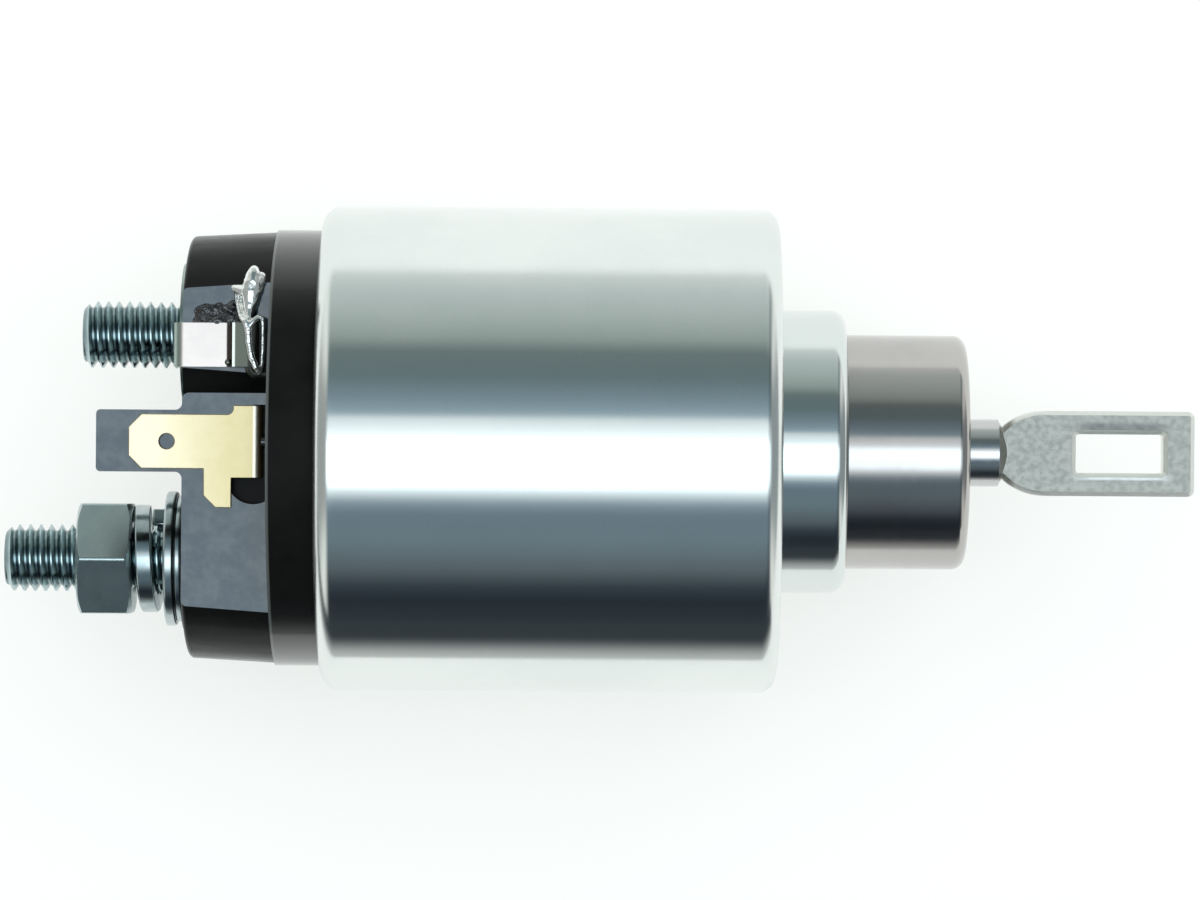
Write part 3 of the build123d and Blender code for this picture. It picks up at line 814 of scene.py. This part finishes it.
def new_material(name, colour, metallic, roughness):
    material = bpy.data.materials.new(name)
    material.use_nodes = True
    tree = material.node_tree
    shader = tree.nodes["Principled BSDF"]
    shader.inputs["Base Color"].default_value = (*colour, 1)
    shader.inputs["Metallic"].default_value = metallic
    shader.inputs["Roughness"].default_value = roughness
    return material, tree, shader, node(tree, "TexCoord").outputs["Object"]


def use_group(tree, group, vector, **values):
    made = tree.nodes.new("ShaderNodeGroup")
    made.node_tree = group
    tree.links.new(vector, made.inputs["Vector"])
    for key, value in values.items():
        made.inputs[key.replace("_", " ")].default_value = value
    return made.outputs


def bump(tree, shader, height, distance=MICRON):
    made = node(tree, "Bump")
    made.inputs["Strength"].default_value = 1.0
    made.inputs["Distance"].default_value = distance
    tree.links.new(height, made.inputs["Height"])
    tree.links.new(made.outputs[0], shader.inputs["Normal"])


def upward(tree):
    """How far a face looks up, from -1 to 1."""
    return xyz(tree, node(tree, "NewGeometry").outputs["Normal"])[2]


marks = make_turning_marks()
handling = make_handling()


# ---------------------------------------------------------------- Finishes


def metal(name, colour, dull, roughness, spread, spacing=0.0, groove=0.0, patch=90.0, grain=0.0):
    """A metal finish. dull is the colour of its patches, spread how far roughness varies, groove
    the depth of its turning marks and grain that of a fine pebbling, in micrometres. At least one
    of those two depths is given."""
    material, tree, shader, place = new_material(name, colour, 1.0, roughness)
    cloud = use_group(tree, handling, place, Patch_Size=patch)
    tint = mix_colour(tree, cloud["Patch"], colour, dull)
    tint = mix_colour(tree, times(tree, cloud["Speck"], 0.25), tint, dull)
    tree.links.new(tint, shader.inputs["Base Color"])
    rough = plus(tree, times(tree, cloud["Patch"], spread), roughness - spread / 2)
    heights = []
    if groove:
        lines = use_group(tree, marks, place, Spacing=spacing)
        rough = plus(tree, rough, minus(tree, times(tree, lines["Streak"], spread), spread / 2))
        heights.append(times(tree, lines["Height"], groove))
    if grain:
        heights.append(times(tree, noise(tree, place, 5200.0, 2.0, 0.6), grain))
    tree.links.new(rough, shader.inputs["Roughness"])
    bump(tree, shader, plus(tree, *heights))
    return material


def laid_over(material, make_mask, colour):
    """Lays a colour over the material's own, by a mask made from the place on the piece."""
    tree = material.node_tree
    base = tree.nodes["Principled BSDF"].inputs["Base Color"]
    mask = make_mask(tree, *xyz(tree, node(tree, "TexCoord").outputs["Object"]))
    tree.links.new(mix_colour(tree, mask, base.links[0].from_socket, colour), base)
    return material


def thread_finish():
    """Bright zinc, with painted shade in the roots of the thread."""
    crest, root = 0.00385, 0.0034

    # Painted shade: a darker colour where the surface lies deep, in the roots of the thread
    def painted_root_shade(tree, x, y, z):
        beside = minus(tree, math(tree, "ABSOLUTE", y), STUD_Y * MM)
        away = plus(tree, times(tree, beside, beside), math(tree, "POWER", z, 2.0))
        return times(tree, ramp(tree, math(tree, "SQRT", away), crest, root), 0.75)

    zinc, cloudy = (0.47, 0.58, 0.60), (0.40, 0.50, 0.52)
    plated = metal("bright zinc on rolled thread", zinc, cloudy, 0.17, 0.1, patch=300.0, grain=1.5)
    return laid_over(plated, painted_root_shade, (0.16, 0.22, 0.23))


def solder_finish():
    """Bright soft solder, darker where it lies low: painted shade, and a flux stain."""

    # Painted shade and flux stain: darker below a height, so that the low flanks show as dark
    # outlines
    def low_shade_and_flux(tree, x, y, z):
        return ramp(tree, z, 0.0189, 0.0181)

    bright, dull = (0.93, 0.94, 0.92), (0.78, 0.79, 0.77)
    solder = metal("soft solder", bright, dull, 0.2, 0.1, patch=700.0, grain=3.0)
    return laid_over(solder, low_shade_and_flux, (0.16, 0.165, 0.14))


def moulded(name, colour, dull, roughness, spread, grain=1.0, coat=0.0):
    """A plastic, rubber, paper or resin finish. dull, spread and grain are as those of a metal."""
    material, tree, shader, place = new_material(name, colour, 0.0, roughness)
    cloud = use_group(tree, handling, place, Patch_Size=140.0)
    tree.links.new(mix_colour(tree, cloud["Patch"], colour, dull), shader.inputs["Base Color"])
    rough = plus(tree, times(tree, cloud["Patch"], spread), roughness - spread / 2)
    rough = plus(tree, rough, times(tree, cloud["Speck"], 0.08))
    tree.links.new(rough, shader.inputs["Roughness"])
    shader.inputs["Coat Weight"].default_value = coat
    shader.inputs["Coat Roughness"].default_value = 0.08
    bump(tree, shader, times(tree, noise(tree, place, 1500.0, 3.0, 0.6), grain))
    return material


def case_finish():
    """Bright zinc, frosted at the rounded ends, a shade darker on the collar."""
    zinc, cloudy = (0.80, 0.83, 0.815), (0.76, 0.795, 0.78)
    material, tree, shader, place = new_material("bright zinc on drawn steel", zinc, 1.0, 0.12)
    along = xyz(tree, place)[0]
    cloud = use_group(tree, handling, place, Patch_Size=60.0)
    collar = ramp(tree, along, 0.0, 0.0003)
    tint = mix_colour(tree, cloud["Patch"], zinc, cloudy)
    tint = mix_colour(tree, collar, tint, (0.71, 0.75, 0.74))
    tint = mix_colour(tree, times(tree, cloud["Speck"], 0.2), tint, (0.66, 0.69, 0.68))
    tree.links.new(tint, shader.inputs["Base Color"])
    back_end = ramp(tree, along, -0.0512, -0.0532)
    front_end = ramp(tree, along, -0.0022, -0.0008)
    frost = math(tree, "MAXIMUM", back_end, minus(tree, front_end, collar))
    rough = plus(tree, times(tree, frost, 0.12), 0.1)
    rough = plus(tree, rough, times(tree, cloud["Patch"], 0.03))
    tree.links.new(rough, shader.inputs["Roughness"])
    drawn = times(tree, use_group(tree, marks, place, Spacing=5000.0)["Height"], 0.2)
    grain = noise(tree, place, 5200.0, 2.0, 0.6)
    grain = times(tree, grain, plus(tree, times(tree, frost, 0.9), 0.25))
    bump(tree, shader, plus(tree, drawn, grain))
    return material


def link_finish():
    """Matt zinc on the pressed end, with a dent and a burr beside the slot. Its edges and the burr
    carry painted highlights, and the dent painted shade.
    """
    zinc, cloudy = (0.50, 0.49, 0.45), (0.43, 0.43, 0.395)
    material, tree, shader, place = new_material("matt zinc on forged steel", zinc, 1.0, 0.5)
    along, across, _ = xyz(tree, place)
    # Taken in the link's own frame, so that it turns with the link
    facing = xyz(tree, node(tree, "TexCoord").outputs["Normal"])[2]
    cloud = use_group(tree, handling, place, Patch_Size=1400.0)
    pressed = ramp(tree, along, 0.0262, 0.0268)
    tint = mix_colour(tree, cloud["Patch"], zinc, cloudy)
    # The long dent above the slot, and the burr that stands up below it: bumps, with painted shade
    # in the dent and a painted highlight on the burr
    beside_slot = times(tree, ramp(tree, along, 0.0345, 0.0375), ramp(tree, along, 0.0475, 0.0448))
    dent = times(tree, ramp(tree, across, 0.0023, 0.0027), ramp(tree, across, 0.0040, 0.0032))
    dent = times(tree, dent, beside_slot)
    burr = times(tree, ramp(tree, across, -0.0034, -0.0030), ramp(tree, across, -0.0022, -0.0026))
    burr = times(tree, burr, beside_slot)
    tint = mix_colour(tree, times(tree, dent, 0.6), tint, (0.16, 0.17, 0.17))
    tint = mix_colour(tree, times(tree, burr, 0.8), tint, (0.92, 0.92, 0.90))
    # Painted highlight on the edges of the pressed end, where the faces turn away from up
    edge = ramp(tree, math(tree, "ABSOLUTE", facing), 0.95, 0.7)
    edge = times(tree, edge, minus(tree, 1.0, ramp(tree, along, 0.0285, 0.0275)))
    tint = mix_colour(tree, edge, tint, (0.98, 0.98, 0.94))
    rod = (0.56, 0.56, 0.56)
    tree.links.new(mix_colour(tree, pressed, rod, tint), shader.inputs["Base Color"])
    rough = plus(tree, times(tree, pressed, 0.33), 0.14)
    rough = plus(tree, rough, times(tree, cloud["Patch"], 0.06))
    tree.links.new(rough, shader.inputs["Roughness"])
    pits = times(tree, noise(tree, place, 2400.0, 4.0, 0.65), 26.0, pressed)
    bump(tree, shader, plus(tree, pits, times(tree, minus(tree, burr, dent), 60.0)))
    return material


def cap_finish():
    """Black phenolic: polished flats with a painted bluish reflection, a satin drum and a more matt
    band next to the case, with a painted highlight on its edge.
    """
    black = (0.004, 0.004, 0.004)
    material, tree, shader, place = new_material("black phenolic moulding", black, 0.0, 0.3)
    cloud = use_group(tree, handling, place, Patch_Size=140.0)
    along, _, height = xyz(tree, place)
    band_edge = -0.0594
    band = ramp(tree, along, band_edge, -0.0592)
    # The flat and the top of the tongue, which face up at one height
    flats = times(tree, ramp(tree, upward(tree), 0.93, 0.99), ramp(tree, height, 0.0162, 0.0166))
    flats = times(tree, flats, ramp(tree, height, 0.0172, 0.0171), minus(tree, 1.0, band))
    # Painted reflection: the flats get a mottled bluish colour that stands in for the light they
    # mirror
    mottle = ramp(tree, noise(tree, place, 620.0, 4.0, 0.6), 0.35, 0.7)
    mottle_and_painted_reflection = mix_colour(tree, mottle, (0.002, 0.016, 0.030), (0.012, 0.026, 0.038))
    tint = mix_colour(tree, cloud["Patch"], (0.0042, 0.0044, 0.0043), (0.0062, 0.0064, 0.0062))
    tint = mix_colour(tree, flats, tint, mottle_and_painted_reflection)
    # A painted highlight along the edge of the band
    band_edge_highlight = times(
        tree, ramp(tree, along, band_edge, -0.0593), ramp(tree, along, -0.0589, -0.0591), 0.28
    )
    tint = mix_colour(tree, band_edge_highlight, tint, (0.24, 0.26, 0.25))
    tree.links.new(tint, shader.inputs["Base Color"])
    grazing = ramp(tree, node(tree, "LayerWeight").outputs["Facing"], 0.1, 0.66)
    gloss = times(tree, flats, plus(tree, times(tree, mottle, 0.14), 0.68))
    gloss = math(tree, "MAXIMUM", gloss, times(tree, band, grazing))
    tree.links.new(gloss, shader.inputs["Coat Weight"])
    shader.inputs["Coat Roughness"].default_value = 0.1
    shader.inputs["Coat IOR"].default_value = 1.8
    shader.inputs["IOR"].default_value = 1.14
    rough = plus(tree, times(tree, band, 0.25), 0.16)
    rough = plus(tree, rough, times(tree, cloud["Patch"], 0.06), times(tree, cloud["Speck"], 0.1))
    tree.links.new(rough, shader.inputs["Roughness"])
    bump(tree, shader, noise(tree, place, 1500.0, 3.0, 0.6))
    return material


def blade_finish():
    """Pale brass, lighter towards the tip, with a painted highlight along the fold and painted
    shade on its sides.
    """
    material, tree, shader, place = new_material("stamped pale brass", (0.80, 0.70, 0.45), 1.0, 0.4)
    cloud = use_group(tree, handling, place, Patch_Size=420.0)
    along = xyz(tree, place)[0]
    # Lighter towards the tip, with cloudy patches
    lighter_to_tip = plus(tree, ramp(tree, along, -0.0635, -0.0745), times(tree, cloud["Patch"], 0.12))
    tint = mix_colour(tree, lighter_to_tip, (0.70, 0.58, 0.33), (0.93, 0.80, 0.58))
    # Painted highlight along the fold
    fold = ramp(tree, along, -0.0613, -0.0611)
    tint = mix_colour(tree, fold, tint, (0.98, 0.90, 0.76))
    # Painted shade on the sides, where the faces turn away from up
    painted_side_shade = times(tree, ramp(tree, upward(tree), 0.92, 0.6), 0.9)
    tint = mix_colour(tree, painted_side_shade, tint, (0.42, 0.28, 0.07))
    tree.links.new(tint, shader.inputs["Base Color"])
    bump(tree, shader, times(tree, noise(tree, place, 3800.0, 3.0, 0.65), 5.0))
    return material


def strap_finish():
    """Bright tin, with painted shade on the bend, on the hook and behind it, a painted shadow
    beside the hook and a painted highlight on the hook's lip.
    """
    tin, cloudy = (0.69, 0.605, 0.57), (0.65, 0.57, 0.54)
    material, tree, shader, place = new_material("tinned strip", tin, 1.0, 0.34)
    cloud = use_group(tree, handling, place, Patch_Size=380.0)
    along, _, height = xyz(tree, place)
    bend = ramp(tree, along, -0.0694, -0.0698)
    painted_hook_shadow = ramp(tree, along, -0.0644, -0.0642)
    hook = ramp(tree, height, 0.0182, 0.0186)
    lip_highlight = times(tree, hook, ramp(tree, along, -0.0631, -0.0633))
    back = ramp(tree, along, -0.0618, -0.0616)
    # Each of these covers the ones before it
    tint = mix_colour(tree, cloud["Patch"], tin, cloudy)
    # Painted shade on the bend and the lug
    tint = mix_colour(tree, bend, tint, (0.38, 0.455, 0.415))
    # Painted shadow beside the hook
    tint = mix_colour(tree, painted_hook_shadow, tint, (0.030, 0.022, 0.018))
    # Painted shade on the hook
    tint = mix_colour(tree, hook, tint, (0.105, 0.112, 0.092))
    # Painted highlight on the hook's lip
    tint = mix_colour(tree, lip_highlight, tint, (0.70, 0.72, 0.66))
    # Painted shade behind the hook, next to the band
    tint = mix_colour(tree, back, tint, (0.035, 0.037, 0.034))
    tree.links.new(tint, shader.inputs["Base Color"])
    bump(tree, shader, times(tree, noise(tree, place, 3800.0, 2.0, 0.6), 2.5))
    return material


def wound(name, colour, dull, pitch):
    """Turns of enamelled wire side by side along X."""
    material, tree, shader, place = new_material(name, colour, 1.0, 0.3)
    turns = times(tree, xyz(tree, place)[0], 2 * pi / (pitch * MM))
    crown = math(tree, "ABSOLUTE", math(tree, "SINE", times(tree, turns, 0.5)))
    # Painted shade in the grooves between the turns, the crowns in the wire's own colour
    tree.links.new(mix_colour(tree, crown, dull, colour), shader.inputs["Base Color"])
    cloud = use_group(tree, handling, place)
    rough = plus(tree, times(tree, cloud["Patch"], 0.15), 0.22)
    tree.links.new(rough, shader.inputs["Roughness"])
    bump(tree, shader, crown, pitch * 0.4 * MM)
    return material


# One for each material slot. The bare numbers in a metal and a moulded finish are its colour, dull
# colour, roughness and spread, and the last one of a moulded finish is its grain
finishes = {
    "case_zinc": case_finish(),
    "plunger_steel": metal(
        "bare turned steel", (0.51, 0.488, 0.475), (0.47, 0.448, 0.438), 0.14, 0.05,
        spacing=9000.0, groove=0.4, patch=70.0, grain=0.3,
    ),
    "link_zinc": link_finish(),
    "stud_zinc": thread_finish(),
    "nut_zinc": metal(
        "bright zinc on a cold formed nut", (0.50, 0.58, 0.58), (0.44, 0.52, 0.53), 0.3, 0.08,
        patch=260.0, grain=1.0,
    ),
    "washer_zinc": metal(
        "zinc on stamped steel", (0.47, 0.53, 0.54), (0.38, 0.44, 0.45), 0.2, 0.1,
        patch=300.0, grain=2.0,
    ),
    "spring_steel": metal(
        "drawn spring wire", (0.42, 0.43, 0.44), (0.34, 0.35, 0.36), 0.3, 0.1,
        patch=400.0, grain=1.0,
    ),
    "core_steel": metal(
        "turned soft iron", (0.55, 0.56, 0.56), (0.47, 0.48, 0.48), 0.26, 0.1,
        spacing=7000.0, groove=1.0, grain=0.6,
    ),
    "blade_brass": blade_finish(),
    "sleeve_brass": metal(
        "drawn brass tube", (0.83, 0.66, 0.30), (0.74, 0.56, 0.24), 0.22, 0.1,
        spacing=6000.0, groove=0.6,
    ),
    "strap_tin": strap_finish(),
    "solder": solder_finish(),
    "copper_contact": metal(
        "bare copper", (0.84, 0.48, 0.31), (0.66, 0.36, 0.23), 0.3, 0.14,
        spacing=5000.0, groove=0.8, patch=200.0,
    ),
    "copper_wire": wound("enamelled copper wire", (0.78, 0.36, 0.16), (0.22, 0.07, 0.03), 1.1),
    "cap_black": cap_finish(),
    "resin": moulded(
        "dried black resin", (0.006, 0.006, 0.007), (0.012, 0.012, 0.014), 0.12, 0.06, coat=1.0
    ),
    "bobbin_nylon": moulded(
        "natural nylon", (0.62, 0.58, 0.48), (0.56, 0.51, 0.41), 0.42, 0.1, 2.0
    ),
    "wrap_paper": moulded(
        "varnished paper", (0.50, 0.38, 0.20), (0.42, 0.30, 0.15), 0.5, 0.14, 8.0
    ),
    "insulator": moulded(
        "brown phenolic", (0.16, 0.06, 0.035), (0.12, 0.045, 0.028), 0.32, 0.1, 2.0
    ),
    "gasket_rubber": moulded(
        "nitrile rubber", (0.022, 0.022, 0.022), (0.035, 0.035, 0.035), 0.6, 0.1, 4.0
    ),
}


# ---------------------------------------------------------------- Light, floor and camera


def blank_tree(owner, kind):
    """The owner's node tree with nothing in it but the output, and the socket for its surface."""
    owner.use_nodes = True
    tree = owner.node_tree
    tree.nodes.clear()
    return tree, node(tree, "Output" + kind).inputs[0]


def make_world():
    """A studio as a shiny cylinder along X sees it: bands by the angle round that axis."""
    world = bpy.data.worlds.new("studio")
    bpy.context.scene.world = world
    tree, surface = blank_tree(world, "World")
    x, y, z = xyz(tree, node(tree, "TexCoord").outputs["Generated"])
    angle = math(tree, "ARCTAN2", y, z)
    bands = node(tree, "ValToRGB")
    tree.links.new(plus(tree, math(tree, "DIVIDE", angle, 2 * pi), 0.5), bands.inputs[0])
    # Degrees from straight up, towards +Y, and the light that comes from there
    stops = [
        (-180, (0.93, 0.935, 0.91)),
        (-114, (0.90, 0.96, 0.93)),
        (-108, (0.22, 0.24, 0.25)),
        (-104, (0.05, 0.06, 0.065)),
        (-76, (0.022, 0.030, 0.040)),
        (-68, (0.038, 0.052, 0.066)),
        (-58, (0.115, 0.145, 0.165)),
        (-44, (0.165, 0.225, 0.26)),
        (-30, (0.16, 0.22, 0.27)),
        (-25, (0.26, 0.34, 0.40)),
        (-20, (0.85, 0.95, 1.0)),
        (-15, (2.0, 2.3, 2.45)),
        (2, (2.2, 2.55, 2.75)),
        (6, (1.15, 1.25, 1.3)),
        (14.5, (0.78, 0.86, 0.88)),
        (16, (0.30, 0.41, 0.48)),
        (24, (0.21, 0.29, 0.34)),
        (34, (0.145, 0.20, 0.215)),
        (47, (0.16, 0.205, 0.205)),
        (54, (0.34, 0.40, 0.38)),
        (66, (0.46, 0.525, 0.51)),
        (80, (0.56, 0.63, 0.62)),
        (92, (0.74, 0.79, 0.77)),
        (103, (0.96, 0.965, 0.94)),
        (180, (0.93, 0.935, 0.91)),
    ]
    colours = bands.color_ramp
    while len(colours.elements) < len(stops):
        colours.elements.new(0.5)
    for index, (degrees, colour) in enumerate(stops):
        colours.elements[index].position = (degrees + 180) / 360
        colours.elements[index].color = (*colour, 1)
    # Towards the link's end the studio is dimmer, and past both ends it is plain and pale
    sideways = ramp(tree, math(tree, "ABSOLUTE", y), 0.3, 0.75)
    dim = times(tree, ramp(tree, x, 0.3, 0.45), 0.45)
    light = mix_colour(tree, dim, bands.outputs[0], (0.06, 0.08, 0.09))
    link_end = mix_colour(tree, sideways, (0.30, 0.33, 0.34), (0.95, 0.97, 0.94))
    light = mix_colour(tree, ramp(tree, x, 0.5, 0.72), light, link_end)
    stud_end = mix_colour(tree, sideways, (0.36, 0.38, 0.37), (0.92, 0.96, 0.92))
    light = mix_colour(tree, ramp(tree, x, -0.25, -0.6), light, stud_end)
    studio = node(tree, "Background")
    tree.links.new(light, studio.inputs[0])
    plain = node(tree, "Background")
    plain.inputs[0].default_value = (1, 1, 1, 1)
    seen = node(tree, "LightPath").outputs["Is Camera Ray"]
    tree.links.new(mix_shader(tree, seen, studio, plain), surface)


def add_stage_plane(name, size, location, rotation=(0, 0, 0)):
    start_piece()
    bpy.ops.mesh.primitive_plane_add(size=1, location=location, rotation=rotation)
    plane = bpy.context.object
    plane.name = plane.data.name = name
    plane.scale = (*size, 1)
    bpy.ops.object.transform_apply()
    return plane


def make_floor():
    """A white table that partly glows for the camera and for reflections, so that the shadow on it
    is faint."""
    floor = add_stage_plane("table", size=(4, 4), location=(0, 0, -0.0290))
    material = bpy.data.materials.new("white table")
    tree, surface = blank_tree(material, "Material")
    paint = node(tree, "BsdfDiffuse")
    paint.inputs[0].default_value = (0.9, 0.91, 0.9, 1)
    glow = node(tree, "Emission")
    glow.inputs[0].default_value = (0.97, 1.0, 0.97, 1)
    path = node(tree, "LightPath").outputs
    seen = math(tree, "MAXIMUM", path["Is Camera Ray"], path["Is Glossy Ray"])
    seen = math(tree, "MAXIMUM", seen, path["Is Transmission Ray"])
    tree.links.new(mix_shader(tree, times(tree, seen, 0.72), paint, glow), surface)
    floor.data.materials.append(material)


def make_card():
    """A dark card beside the solenoid, paler low down, which only reflections see."""
    card = add_stage_plane(
        "dark_card",
        size=(0.541, 0.05),
        location=(-0.1955, -0.108, -0.0035),
        rotation=(pi / 2, 0, 0),
    )
    material = bpy.data.materials.new("dark card")
    tree, surface = blank_tree(material, "Material")
    up = ramp(tree, xyz(tree, node(tree, "TexCoord").outputs["Object"])[2], -0.026, 0.004)
    glow = node(tree, "Emission")
    shade = mix_colour(tree, up, (0.50, 0.53, 0.52), (0.040, 0.050, 0.058))
    tree.links.new(shade, glow.inputs[0])
    tree.links.new(glow.outputs[0], surface)
    card.data.materials.append(material)
    card.visible_camera = False
    card.visible_diffuse = False
    card.visible_shadow = False


def make_lamp():
    """A soft overhead light that brings the shade up and shows in no reflection."""
    start_piece()
    bpy.ops.object.light_add(type="AREA", location=(0.05, 0.25, 0.7))
    lamp = bpy.context.object
    lamp.name = "soft_overhead"
    lamp.rotation_euler = (-0.34, 0.07, 0)
    lamp.data.shape = "RECTANGLE"
    lamp.data.size = 0.9
    lamp.data.size_y = 0.7
    lamp.data.energy = 6.0
    lamp.visible_glossy = False


def make_camera():
    """Looks straight down from 0.65 m, turned a little as the photograph is."""
    data = bpy.data.cameras.new("camera")
    data.sensor_width = 36
    data.lens = 163.8
    data.clip_start = 0.01
    data.clip_end = 20
    camera = bpy.data.objects.new("camera", data)
    bpy.context.scene.collection.objects.link(camera)
    camera.location = (-0.021, 0.0, 0.65)
    camera.rotation_euler = (0, 0, radians(0.43))
    bpy.context.scene.camera = camera


# ---------------------------------------------------------------- Putting it together

make_camera()
make_world()
make_floor()
make_card()
make_lamp()
bpy.context.scene.view_settings.view_transform = "Standard"

made = [
    make_case(),
    make_stud("battery_screw", "battery_stud", -STUD_Y, tip=-91.5, thread_end=-70.0),
    make_stud("motor_screw", "motor_stud", STUD_Y, tip=-82.4, thread_end=-69.8),
    make_nut(),
    *make_washers(),
    softened("terminal_cap", "moulded_cap", 0.3, edge_angle=40, shade_angle=30),
    softened("blade_terminal", "stamped_blade", 0.14, edge_angle=40, shade_angle=32),
    make_strap(),
    make_lead(),
    softened("link", "pressed_link", 0.18, edge_angle=24, shade_angle=30),
    make_plunger(),
    *(make_spring(*spring) for spring in springs),
    make_solder(),
    make_resin(),
]


def dress(piece, slot):
    piece.data.materials.clear()
    piece.data.materials.append(finishes[slot])


for piece in made:
    dress(piece, piece["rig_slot"])
for name, cad_node in nodes.items():
    # What shows of the control lead in the cap's pocket gets the black resin finish, as painted
    # shade: it lies in the pocket's shadow
    dress(cad_node, "resin" if name == "control_lead" else slots[name])
